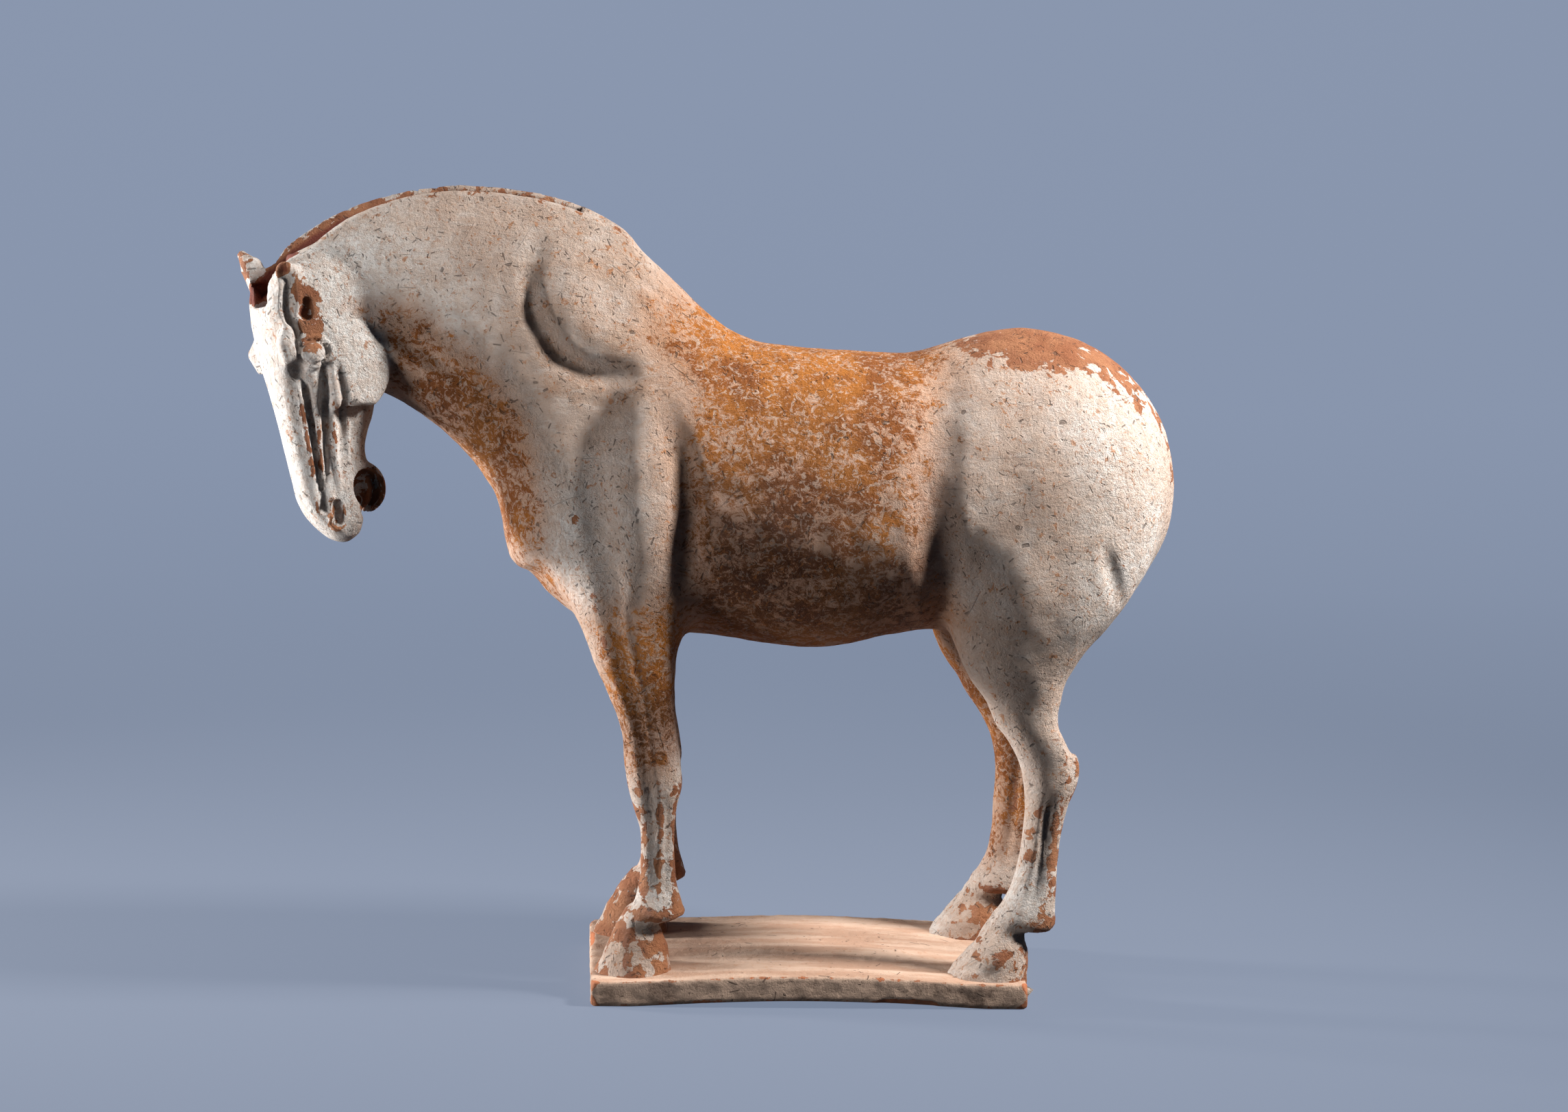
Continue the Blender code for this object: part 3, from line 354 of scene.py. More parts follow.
def drawn(u, v, path):
    """Distance to a flat path of (u, v, width, height), with the width and the height where it is nearest."""
    best = np.full(np.shape(u), 1e9)
    width = np.ones_like(best)
    height = np.zeros_like(best)
    for first, last in zip(path, path[1:]):
        along_u, along_v = last[0] - first[0], last[1] - first[1]
        t = ((u - first[0]) * along_u + (v - first[1]) * along_v) / (along_u**2 + along_v**2)
        t = np.clip(t, 0, 1)
        gap = np.hypot(u - first[0] - t * along_u, v - first[1] - t * along_v)
        nearer = gap < best
        best = np.where(nearer, gap, best)
        width = np.where(nearer, first[2] + (last[2] - first[2]) * t, width)
        height = np.where(nearer, first[3] + (last[3] - first[3]) * t, height)
    return best, width, height


class Clay:
    """The steps that shape the figure, each within its own box, so that a block far from it can skip it."""

    def __init__(self):
        self.steps = []

    def add(self, kind, field, low, high, soft=0.0):
        """Joins, cuts or lifts by a field within a box. soft is the width of the seam."""
        self.steps.append((kind, field, np.array(low, float), np.array(high, float), soft))

    def distance(self, x, y, z, low, high):
        total = np.full(np.shape(x), FAR_AWAY)
        for kind, field, first, last, soft in self.steps:
            reach = soft + BOX_ROOM
            if np.any(high < first - reach) or np.any(low > last + reach):
                continue
            value = field(x, y, z)
            if kind == "join":
                total = blend_min(total, value, soft)
            elif kind == "cut":
                total = blend_max(total, -value, soft)
            else:
                total = total - value
        return total


def head_axes():
    turn, tuck, tip = (math.radians(a) for a in (HEAD_TURN, HEAD_TUCK, HEAD_TIP))
    ahead = np.array([-math.cos(turn), -math.sin(turn), 0.0])
    side = np.array([math.sin(turn), -math.cos(turn), 0.0])
    up = np.array([0.0, 0.0, 1.0])
    down = -up * math.cos(tuck) - ahead * math.sin(tuck)
    face = ahead * math.cos(tuck) - up * math.sin(tuck)
    # The far side of the head hangs a little lower than the near one.
    tipped_side = side * math.cos(tip) - down * math.sin(tip)
    tipped_down = down * math.cos(tip) + side * math.sin(tip)
    return tipped_down, face, tipped_side


DOWN, AHEAD, SIDE = head_axes()
TOP = np.array(HEAD_TOP)


def in_head(x, y, z):
    parts = (x - TOP[0], y - TOP[1], z - TOP[2])
    return [sum(p * a for p, a in zip(parts, axis)) for axis in (DOWN, AHEAD, SIDE)]


def from_head(place, ahead, side):
    return TOP + DOWN * place + AHEAD * ahead + SIDE * side


def mirrored(points, sign, drop=0.0):
    """Points of the head on its near side (sign 1) or its far one (-1), set lower by the drop."""
    return [from_head(place + drop, ahead, sign * side) for place, ahead, side in points]


def head_box(low, high):
    """The box in the figure's frame round a box in the head's frame."""
    corners = [
        from_head(a, b, c) for a in (low[0], high[0]) for b in (low[1], high[1]) for c in (low[2], high[2])
    ]
    return np.min(corners, axis=0), np.max(corners, axis=0)


def round_hub(x, z):
    """The radius and the angle in degrees round the neck's hub."""
    across, up = x - NECK_HUB[0], z - NECK_HUB[1]
    return np.hypot(across, up), np.degrees(np.arctan2(up, across))


def past_ends(angle, low, high):
    """How far a point lies past the ends of a stretch of the neck's arc."""
    return np.maximum(angle - high, low - angle) * DEGREE


def by_crest(x, z):
    """The radius and the angle round the neck's hub, with the crest's radius and sideways shift there."""
    radius, angle = round_hub(x, z)
    crest, _, shift = neck_at(angle)[1:4]
    return radius, angle, crest, shift


def add_body(clay):
    barrel = curve(BARREL)

    def barrel_level(x, y, z):
        back, belly, half = barrel(x)
        high = centred(z, belly, back)
        return egg(high, y / (half * (1 - 0.05 * high)), 2.15)

    barrel_field = measured(barrel_level)

    def barrel_body(x, y, z):
        return blend_max(barrel_field(x, y, z), np.abs(x + 5) - 120, 20)

    def neck_level(x, y, z):
        radius, angle = round_hub(x, z)
        throat, crest, half, shift, thin = neck_at(angle)
        high = centred(radius, throat, crest)
        # The crest bends over to the poll, while the throat stays nearer the middle.
        bent = shift * (0.5 + 0.5 * np.clip(high, -1, 1))
        return egg(high, (y - bent) / (half * (1 - thin * high)), 2.25)

    neck_field = measured(neck_level)

    def neck_body(x, y, z):
        radius, angle = round_hub(x, z)
        far = np.maximum((angle - 116) * radius, (42 - angle) * radius) * math.pi / 180
        far = np.where(angle < -60, 60.0, far)
        return blend_max(neck_field(x, y, z), far, 16)

    def crest_band(x, y, z):
        radius, angle, crest, shift = by_crest(x, z)
        across = np.abs(y - shift) - 8.5
        up = np.abs(radius - (crest - 12.5)) - 9.0
        inside = np.minimum(np.maximum(across, up), 0)
        corner = np.hypot(np.maximum(across, 0), np.maximum(up, 0)) + inside - 3.5
        return blend_max(corner, past_ends(angle, 66, 118), 10)

    def worn_rim(x, y, z):
        radius, angle, crest, shift = by_crest(x, z)
        drop = np.interp(angle, *np.array(WORN_RIM).T)
        near_rim = np.maximum(crest - drop - radius, y - shift + 2)
        return np.maximum(near_rim, past_ends(angle, 70, 119))

    for step in (
        ("join", barrel_body, (-135, -92, 215), (120, 92, 426), 1),
        ("join", ellipsoid((-116, 0, 300), (73.5, 77, 70)), (-195, -80, 228), (-40, 80, 378), 14),
        ("join", ellipsoid((131, 0, 326), (101, 82, 101)), (25, -85, 222), (235, 85, 430), 14),
        ("join", neck_body, (-352, -66, 270), (-30, 66, 512), 20),
        ("join", crest_band, (-350, -40, 440), (-110, 20, 512), 10),
        ("cut", worn_rim, (-350, -50, 430), (-130, 0, 520), 2.5),
    ):
        clay.add(*step)


def leg(stations, foot, top, top_soft, far_shift):
    columns = curve(stations)
    shifted = np.array(far_shift, float).T

    def level(x, y, z):
        front, back, inner, outer = columns(z)
        x = x - np.where(y > 0, np.interp(z, *shifted), 0)
        return egg(centred(x, front, back), centred(np.abs(y), inner, outer), 2.2)

    field = measured(level)

    def body(x, y, z):
        return blend_max(blend_max(field(x, y, z), foot - z, 3), z - top, top_soft)

    return body


def add_legs(clay):
    for stations, foot, top, top_soft, soft, shift in (
        (FORELEG, 50, 362, 26, 16, FAR_FORE_SHIFT),
        (HINDLEG, 46, 372, 26, 16, FAR_HIND_SHIFT),
        (FORE_HOOF, 8, 58, 3, 3, FAR_FORE_SHIFT),
        (HIND_HOOF, 8, 58, 3, 3, FAR_HIND_SHIFT),
    ):
        rows = np.array(stations, float)
        low = (rows[:, 1].min() - 7, -rows[:, 4].max(), foot)
        high = (rows[:, 2].max() + 7, rows[:, 4].max(), top)
        clay.add("join", leg(stations, foot, top, top_soft, shift), low, high, soft)


def lofted(stations, power, first, last, soft):
    """A loft down the head, closed at both ends."""
    columns = curve(stations)

    def field(x, y, z):
        place, ahead, side = in_head(x, y, z)
        upper, lower, half, thin = (*columns(place), JAW_NARROWING)[:4]

        def level(ahead, side):
            high = centred(ahead, lower, upper)
            return egg(high, side / (half * (1 - thin * high)), power)

        here = level(ahead, side)
        slope = np.hypot(level(ahead + STEP, side) - here, level(ahead, side + STEP) - here)
        skin = here * STEP / np.maximum(slope, STEP / FARTHEST)
        return blend_max(skin, np.maximum(first - place, place - last), soft)

    return field


def ring(place, ahead, middle, spread, reach):
    return egg((place - middle[0]) / spread[0], (ahead - middle[1]) / spread[1]) * reach


def add_head(clay):
    def cheek(x, y, z):
        place, ahead, side = in_head(x, y, z)
        across = np.hypot(place - CHEEK[0], ahead - CHEEK[1]) - CHEEK_RADIUS
        across = np.maximum(across, place - CHEEK_FOOT + 0.145 * (ahead - CHEEK[1]))
        flare = 0.04 * (CHEEK[1] - ahead)
        dome = np.abs(side) - 32 - flare + 0.003 * ((place - CHEEK[0]) ** 2 + (ahead - CHEEK[1]) ** 2)
        dome = dome + 0.11 * np.maximum(ahead + 27, 0) ** 2 + 0.004 * np.maximum(66 - place, 0) ** 2
        return blend_max(across, dome, 4)

    def chin(x, y, z):
        place, ahead, side = in_head(x, y, z)
        return blend_max(ring(place, ahead, CHIN, CHIN_SPREAD, 15.5), np.abs(side) - 12.5, 5)

    def mouth(x, y, z):
        place, ahead, side = in_head(x, y, z)
        return blend_max(ring(place, ahead, MOUTH, MOUTH_SPREAD, 11), 3.4 - np.abs(side), 2)

    def mouth_gap(x, y, z):
        place, ahead, _ = in_head(x, y, z)
        return np.hypot(place - 168.5, (ahead + 33.5) * 0.8) - 3.4

    face = lofted(FACE, 3.0, 3, 185, 3)
    jaw = lofted(JAW, 2.3, 56, 152, 4)
    clay.add("join", face, *head_box((3, -52, -33), (185, 11, 33)), 12)
    clay.add("join", jaw, *head_box((56, -64, -22), (152, -18, 22)), 6)
    clay.add("join", cheek, *head_box((42, -64, -35), (109, 4, 35)), 2)
    # The brow and the eye sit a little lower on the far side, as they do on the work itself.
    for sign, drop in ((1, 0.0), (-1, 5.0)):
        brow = ((46, -1.0, 26.0), (55, 2.6, 25.5 if sign > 0 else 27.5), (64, 2.0, 24.0))
        brow = mirrored(brow, sign, drop)
        clay.add("join", rod(brow, (3.4, 5.6, 4.4)), *head_box((37, -8, -36), (76, 12, 36)), 5)
        for kind, place, ahead, side, radii, room, soft in (
            ("join", EYE[0], EYE[1], EYE[2], (11.0, 11.0, 9.0), 12, 3.5),
            ("join", EYE[0], EYE[1], EYE[2] + 2.6, EYE_RADII, 9, 1.2),
            ("cut", 73, -2.0, 24.5, (6.5, 7.0, 7.0), 8, 2),
        ):
            (middle,) = mirrored([(place, ahead, side)], sign, drop)
            clay.add(kind, ellipsoid(middle, radii), middle - room, middle + room, soft)
        stroke_round_eye(clay, drop, sign)
    clay.add("join", chin, *head_box((135, -51, -14), (172, -18, 14)), 2.5)
    clay.add("cut", mouth, *head_box((141, -48, -16), (168, -25, 16)), 1)
    clay.add("cut", mouth_gap, *head_box((163, -40, -16), (174, -27, 16)), 1)
    for sign in (1, -1):
        tongue = ((148.5, -40.5, 5.0), (155, -41.0, 5.5), (161.5, -38.0, 5.5), (165.5, -34, 4.5))
        tongue = rod(mirrored(tongue, sign), (2.0, 1.8, 1.8, 1.4))
        clay.add("join", tongue, *head_box((144, -45, -9), (169, -30, 9)), 1.0)


# Rods that are joined to the head or cut into it, for its near side (1), its far side (-1) or both in turn:
# the points of each (place, ahead, side), its radii, the room round it and the width of the seam.
HEAD_RODS = (
    # The deep channel on each side of the bridge of the nose.
    ((1, -1), (
        ("cut", ((76, 1.5, 25.0), (85, 3.2, 23.0), (102, 3.0, 19.6), (121, 2.6, 17.8), (136, 1.8, 16.6),
                 (152, 1.6, 16.4)), (4.4, 3.6, 3.6, 3.6, 3.4, 2.6), 6, 1.2),
    )),
    # The roots of the ears.
    ((1, -1), (("join", ((20, -9, 21), (14, -10, 23)), (7.5, 6.5), 9, 5),)),
    # The near ear is broken off to a hollow stub; the far one is whole.
    ((1,), (
        ("join", ((15, -7, 22.5), (11, -6.5, 25.0)), (5.6, 5.2), 8, 2),
        ("cut", ((5.0, -5.0, 28.0), (14.5, -2.5, 27.0)), (3.4, 2.8), 6, 1.0),
    )),
    ((-1,), (
        ("join", ((17, -7, 23.5), (6, -6.5, 30), (-3, -4.5, 37)), (7.4, 7.2, 3.0), 9, 2),
        ("cut", ((14, 2.8, 26.5), (1, 2.2, 34.5)), (4.4, 2.2), 6, 0.8),
    )),
    # The pit at the temple.
    ((1, -1), (("cut", ((32.5, -14.2, 30.5), (39.5, -12.4, 30.5)), (3.0, 4.8), 6, 0.8),)),
    # The rim of the nostril, the nostril and the dent over it.
    ((1, -1), (
        ("join", ((155, -8.5, 14.6), (164, -10.5, 15.8), (173, -11.0, 13.0)), (2.6, 5.0, 3.4), 6, 3),
        ("cut", ((160.0, -12.4, 19.5), (170.0, -11.6, 19.5)), (3.4, 3.8), 6, 0.8),
        ("cut", ((160.0, -12.4, 16.0), (170.0, -11.6, 16.0)), (3.4, 3.8), 6, 0.8),
        ("cut", ((144, -5.4, 16.0), (161, -4.8, 15.4)), (2.8, 3.9), 6, 1.0),
    )),
)


def add_head_rods(clay):
    for signs, rods in HEAD_RODS:
        for sign in signs:
            for kind, points, radii, room, soft in rods:
                path = mirrored(points, sign)
                low, high = np.min(path, axis=0) - room, np.max(path, axis=0) + room
                clay.add(kind, rod(path, radii), low, high, soft)


def stroke_round_eye(clay, drop, sign):
    """The line between the eyeball and its lids, and the rim of the lids."""
    middle = from_head(EYE[0] + drop, EYE[1], sign * (EYE[2] + 8))

    def lift(x, y, z):
        place, ahead, side = in_head(x, y, z)
        reach = np.hypot(place - EYE[0] - drop, (ahead - EYE[1]) * 0.82)
        groove = -1.8 * np.clip(1 - ((reach - 7.0) / 1.8) ** 2, 0, 1)
        rim = 0.9 * np.clip(1 - ((reach - 9.6) / 1.9) ** 2, 0, 1)
        return (groove + rim) * np.clip((side * sign - 20) / 4, 0, 1)

    clay.add("lift", lift, middle - 16, middle + 16)


def stroke(clay, path, seen, starts, grows, low, high):
    """A ridge or a groove along a path of (u, v, width, height), within a box.

    seen gives u, v and how far out a point lies. The stroke starts so far out and is full once it has grown.
    """

    def lift(x, y, z):
        u, v, out = seen(x, y, z)
        gap, width, height = drawn(u, v, path)
        shape = np.clip(1 - (gap / width) ** 2, 0, 1) ** 2
        return height * shape * np.clip((out - starts) / grows, 0, 1)

    clay.add("lift", lift, low, high)


def seen_from_side(x, y, z):
    place, ahead, side = in_head(x, y, z)
    return place, ahead, np.abs(side)


def seen_from_front(x, y, z):
    place, ahead, side = in_head(x, y, z)
    return place, np.abs(side), ahead


def seen_on_flank(x, y, z):
    return x, z, np.abs(y)


# Strokes down both sides of the head: (place, ahead, width, height).
HEAD_STROKES = (
    # The folds from the eye to the nostril, ridges and grooves by turns.
    ((80, -1.4, 2.4, 0), (88, -2.0, 2.6, 1.4), (112, -2.5, 2.6, 1.9), (136, -2.9, 2.5, 1.7),
     (149, -2.1, 2.4, 0)),
    ((76, -4.8, 2.4, 0), (86, -6.2, 3.0, -3.0), (108, -6.7, 3.0, -4.2), (124, -6.1, 2.8, -4.2),
     (140, -5.2, 2.8, -3.4), (148, -5, 2.6, -2)),
    ((72, -11.5, 4.4, 0.2), (82, -12.0, 4.2, 1.6), (100, -11.2, 3.2, 2.6), (118, -9.4, 2.4, 2.4),
     (134, -8.4, 2.0, 1.8), (143, -7, 1.8, 0)),
    ((76, -18.6, 2.0, 0), (88, -17.6, 2.4, -2.8), (101, -15.6, 2.4, -3.2), (119, -13.3, 2.2, -3.0),
     (133, -11.2, 2.2, -2.6), (145, -9, 2.2, -1)),
    ((74, -22.4, 3.0, 0.4), (93, -21.4, 3.4, 2.2), (111, -19.4, 3.6, 2.6), (130, -17.8, 3.4, 2.2),
     (146, -17.2, 3.0, 1.6), (156, -16, 2.4, 0)),
    ((70, -26.0, 3.0, 0), (80, -26.2, 3.6, -2.6), (92, -26.6, 3.6, -3.2), (104, -26.6, 3.2, -2.8),
     (118, -24.6, 2.8, -1.6), (134, -22, 2.6, 0)),
    ((104, -30.8, 2.4, 0), (112, -30.0, 2.6, 1.1), (128, -27.2, 2.6, 1.0), (138, -27, 2.4, 0)),
    # The slit between the brow and the eye.
    ((46, -6.2, 1.8, 0), (51, -4.9, 2.2, -2.6), (58, -3.3, 2.2, -3.2), (65, -2.6, 2.0, -1.2)),
    # The corner below the eye.
    ((70, -17.6, 1.8, -0.5), (74, -17.7, 2.2, -2.6), (79, -17.7, 1.8, 0)),
    # The line under the cheek.
    ((98, -26, 1.8, -0.8), (101.5, -31, 1.8, -1.6), (104.5, -46, 1.8, -1.2)),
    # In front of the ear and down to the brow.
    ((12, -8.5, 4, -1.0), (21, -6.2, 5, -3.8), (34, -3.4, 5, -4.6), (43, -3.2, 4.6, -4.2),
     (49, -4.4, 3.2, -2.0), (53, -5.5, 2.4, 0)),
)

# The rims of the slot stand a little lower than the forehead beside them: (place, side, width, height).
SLOT_RIMS = ((4, 12.5, 5, -1.6), (30, 12.5, 5, -2.0), (36, 11, 4, 0))

# Strokes on both flanks: (x, z, width, height).
FLANK_STROKES = (
    # The crease round the shoulder mass below the withers, the round mass and the crack above it.
    ((-172, 488, 10, 0), (-182, 462, 11, -3.4), (-183, 442, 11, -5.6), (-174, 420, 12, -7.0),
     (-157, 402, 12, -7.0), (-140, 396, 12, -5.4), (-125, 398, 12, -2.6), (-110, 400, 12, 0)),
    ((-164, 482, 22, 0), (-163, 456, 26, 3.6), (-152, 430, 26, 6.0), (-134, 420, 26, 5.6),
     (-112, 428, 28, 2.4), (-96, 438, 28, 0)),
    ((-132, 466, 2.4, 0), (-117, 456, 2.6, -1.4), (-98, 440, 2.4, -1.0), (-92, 434, 2, 0)),
    # The furrow along the throat.
    ((-290, 420, 8, 0), (-268, 416, 9, -2.6), (-244, 402, 10, -2.6), (-216, 382, 11, 0)),
    ((-280, 410, 8, 0), (-256, 400, 8, 2.0), (-232, 388, 8, 1.8), (-212, 376, 8, 0)),
    # The shoulder blade and the arm under it.
    ((-108, 388, 12, 0), (-92, 358, 14, -3.0), (-85, 324, 15, -3.8), (-87, 290, 15, -3.2), (-92, 256, 12, 0)),
    ((-146, 372, 14, 0), (-145, 344, 15, -2.8), (-138, 304, 15, -3.4), (-130, 262, 12, -2.6),
     (-128, 232, 9, -1.0)),
    ((-120, 366, 20, 0.5), (-116, 334, 24, 4.4), (-112, 290, 22, 3.4), (-110, 246, 16, 0)),
    # The haunch in front and the thigh behind.
    ((84, 408, 18, 0), (72, 376, 22, -3.4), (68, 332, 22, -4.6), (72, 290, 20, -4.6), (80, 250, 15, -2.0),
     (84, 226, 10, 0)),
    ((177, 303, 6, 0), (179, 288, 8, -2.6), (185, 270, 8, -2.2), (190, 256, 6, 0)),
    ((116, 306, 28, 0.5), (124, 270, 26, 2.6), (128, 236, 18, 0)),
    # The hollow above each hock and the tendon behind each cannon bone.
    ((156, 196, 5, 0), (157, 180, 5, -2.5), (163, 162, 5, -3.0), (164, 148, 4, -1.0)),
    ((152, 140, 4.5, 0), (149, 124, 4.5, -3.0), (147, 100, 4.5, -3.0), (143, 74, 5, -2.5),
     (138, 58, 5, -0.5)),
    ((-126, 250, 8, 0), (-124, 224, 9, -2.5), (-114, 190, 7, -3.0), (-108, 160, 5, -2.5),
     (-103, 130, 4.5, -2.5), (-101, 100, 4, -2.0), (-100, 66, 5, -1.0)),
    ((-93, 132, 3.5, 0), (-92, 116, 3.5, -2.2), (-92, 96, 3.5, -2.2), (-92, 70, 4, -1.5), (-90, 60, 4, 0)),
)


def add_strokes(clay):
    for path in HEAD_STROKES:
        (low_u, low_v), (high_u, high_v), reach = extent(path)
        box = head_box((low_u - reach, low_v - reach, -34), (high_u + reach, high_v + reach, 34))
        stroke(clay, path, seen_from_side, 6, 5, *box)
    (low_u, _), (high_u, high_v), reach = extent(SLOT_RIMS)
    box = head_box((low_u - reach, -14, -high_v - reach), (high_u + reach, 14, high_v + reach))
    stroke(clay, SLOT_RIMS, seen_from_front, -14, 6, *box)
    for path in FLANK_STROKES:
        (low_u, low_v), (high_u, high_v), reach = extent(path)
        reach += 2
        low, high = (low_u - reach, -95, low_v - reach), (high_u + reach, 95, high_v + reach)
        stroke(clay, flowing(path), seen_on_flank, 20, 8, low, high)


def extent(path):
    """The least and the greatest u and v of a path, and its greatest width."""
    rows = np.array(path, float)
    return rows[:, :2].min(axis=0), rows[:, :2].max(axis=0), rows[:, 2].max()


def add_slots(clay):
    def mane(x, y, z):
        radius, angle, crest, shift = by_crest(x, z)
        walls = np.abs(y - shift) - MANE_SLOT_WIDTH / 2
        floor = crest - MANE_SLOT_DEPTH - radius
        return np.maximum(np.maximum(walls, floor), past_ends(angle, 74, 122))

    def forelock(x, y, z):
        place, ahead, side = in_head(x, y, z)
        walls = np.abs(side) - FOREHEAD_SLOT_HALF
        past_end = np.maximum(place - FOREHEAD_SLOT_END + 3, 0)
        past_side = np.maximum(np.abs(side) - FOREHEAD_SLOT_HALF + 3, 0)
        end = np.hypot(past_end, past_side) - 3
        deep = -19.0 - ahead
        return np.maximum(np.maximum(walls, end), deep)

    socket = rod([(236, 0, 360), (222 - TAIL_SOCKET_DEPTH, 0, 352)], (TAIL_SOCKET_WIDTH / 2,) * 2)
    clay.add("cut", mane, (-360, -45, 420), (-130, 15, 530), 0.8)
    box = head_box((-24, -19, -FOREHEAD_SLOT_HALF), (34, 14, FOREHEAD_SLOT_HALF))
    clay.add("cut", forelock, *box, 0.8)
    clay.add("cut", socket, (196, -10, 340), (240, 10, 370), 1.0)


def figure():
    clay = Clay()
    for add_to in (add_body, add_legs, add_head, add_head_rods, add_strokes, add_slots):
        add_to(clay)
    return clay


def rows_of(items, name, width, kind=np.float32):
    """One property of all items, a row each."""
    flat = np.empty(len(items) * width, kind)
    items.foreach_get(name, flat)
    return flat.reshape(-1, width)


class Net:
    """A mesh as arrays: its points in millimetres, its edges and its outward normals."""

    def __init__(self, obj):
        self.mesh = obj.data
        self.count = len(self.mesh.vertices)
        self.points = rows_of(self.mesh.vertices, "co", 3).astype(float) / MM
        self.ends = rows_of(self.mesh.edges, "vertices", 2, np.int32)
        self.meets = np.bincount(self.ends.ravel(), minlength=self.count)

    def normals(self):
        return rows_of(self.mesh.vertex_normals, "vector", 3).astype(float)

    def evened(self, values, rounds=1):
        """Each value drawn to the middle of its neighbours'."""
        a, b = self.ends.T
        for _ in range(rounds):
            total = np.zeros_like(values)
            np.add.at(total, a, values[b])
            np.add.at(total, b, values[a])
            values = total / self.meets.reshape((-1,) + (1,) * (values.ndim - 1))
        return values

    def bulge(self, rounds):
        """How far each point stands out from the ones around it, in millimetres."""
        return self.evened(((self.points - self.evened(self.points, rounds)) * self.normals()).sum(axis=1))

    def store(self):
        self.mesh.vertices.foreach_set("co", (self.points * MM).astype(np.float32).ravel())
        self.mesh.update()

    def push(self, amount):
        self.points = self.points + self.normals() * amount[:, None]
        self.store()

    def paint(self, **layers):
        for name, values in layers.items():
            layer = self.mesh.attributes.new(name, "FLOAT", "POINT")
            layer.data.foreach_set("value", np.clip(values, 0, 1).astype(np.float32))


def linked(name, data):
    """A new object of the scene."""
    obj = bpy.data.objects.new(name, data)
    bpy.context.scene.collection.objects.link(obj)
    return obj


def linked_mesh(name, body):
    """A new object of the scene, with the bmesh as its mesh."""
    mesh = bpy.data.meshes.new(name)
    body.to_mesh(mesh)
    body.free()
    return linked(name, mesh)


def remeshed(obj, width):
    """Draws an even net over the object, its faces about that wide."""
    grid = obj.modifiers.new("net", "REMESH")
    grid.mode = "VOXEL"
    grid.voxel_size = width * 1.0
    bpy.context.view_layer.update()
    graph = bpy.context.evaluated_depsgraph_get()
    made = bpy.data.meshes.new_from_object(obj.evaluated_get(graph))
    obj.modifiers.remove(grid)
    obj.data = made


def bevelled(body, edges, width, segments):
    bmesh.ops.bevel(
        body, geom=edges, offset=width, segments=segments, profile=0.5, affect="EDGES", material=-1
    )


def slab_lift(x):
    """How far the slab's middle is raised over its level landings, x in millimetres from its middle."""
    ends = SLAB_LENGTH / 2 - SLAB_LANDING
    return SLAB_RISE * np.maximum(0.0, 1 - (np.asarray(x, float) / ends) ** 2) ** 1.3


def figure_place(node):
    """Where the middle of the slab stands in the frame, in millimetres."""
    low = [v.co / MM for v in node.data.vertices if v.co.z < 0.5 * MM]
    return np.array([(min(p[i] for p in low) + max(p[i] for p in low)) / 2 for i in (0, 1)] + [0.0])


def skin_without_slab(node, place):
    """The part's skin, merged, with the slab's faces taken off and each hoof run on down and closed."""
    body = bmesh.new()
    body.from_mesh(node.data)
    bmesh.ops.remove_doubles(body, verts=body.verts, dist=0.01 * MM)
    top = {v: SLAB_THICK + slab_lift(v.co.x / MM - place[0]) + 0.3 for v in body.verts}
    slab_faces = [f for f in body.faces if all(v.co.z / MM < top[v] for v in f.verts)]
    bmesh.ops.delete(body, geom=slab_faces, context="FACES")
    rims = [e for e in body.edges if e.is_boundary]
    run_on = bmesh.ops.extrude_edge_only(body, edges=rims)["geom"]
    for vert in run_on:
        if isinstance(vert, bmesh.types.BMVert):
            vert.co.z -= HOOF_IN_SLAB * MM
    bmesh.ops.holes_fill(body, edges=[e for e in body.edges if e.is_boundary], sides=0)
    bmesh.ops.triangulate(body, faces=[f for f in body.faces if len(f.verts) > 4])
    bmesh.ops.recalc_face_normals(body, faces=body.faces)
    return linked_mesh("horse", body)


def finer_head(obj, place):
    """Halves the net on the head and the ears, where the tool's strokes are narrow."""
    body = bmesh.new()
    body.from_mesh(obj.data)
    spots = np.array([f.calc_center_median() for f in body.faces]) / MM - place
    down, ahead, side = in_head(*spots.T)
    near = (down > ABOVE_POLL) & (ahead > BEHIND_JAW) & (spots[:, 0] < HEAD_REAR)
    near &= np.linalg.norm(spots - from_head(*HEAD_MIDDLE), axis=1) < HEAD_REACH
    body.faces.ensure_lookup_table()
    edges = list({e for i in np.flatnonzero(near) for e in body.faces[i].edges})
    bmesh.ops.subdivide_edges(body, edges=edges, cuts=1, use_grid_fill=True)
    body.to_mesh(obj.data)
    body.free()


def fitted(clay, spots):
    """The clay's distance at scattered points, worked out in blocks so that far steps are skipped."""
    keys = np.floor(spots / BLOCK).astype(np.int64)
    which = np.unique(keys, axis=0, return_inverse=True)[1].reshape(-1)
    order = np.argsort(which, kind="stable")
    found = np.empty(len(spots))
    for block in np.split(order, np.flatnonzero(np.diff(which[order])) + 1):
        held = spots[block]
        found[block] = clay.distance(*held.T, held.min(axis=0), held.max(axis=0))
    return found


def draw_onto(net, clay, place):
    net.push(-np.clip(fitted(clay, net.points - place), -FARTHEST_PUSH, FARTHEST_PUSH))


def iron(net, gap):
    """Flattens the folds of the net that hang off the clay, above the slab."""
    stray = (np.abs(gap) > STRAY) & (net.points[:, 2] > ABOVE_SLAB)
    near = net.evened(stray.astype(float), 4) > 0.01
    for _ in range(24):
        net.points[near] = net.evened(net.points)[near]
    net.store()


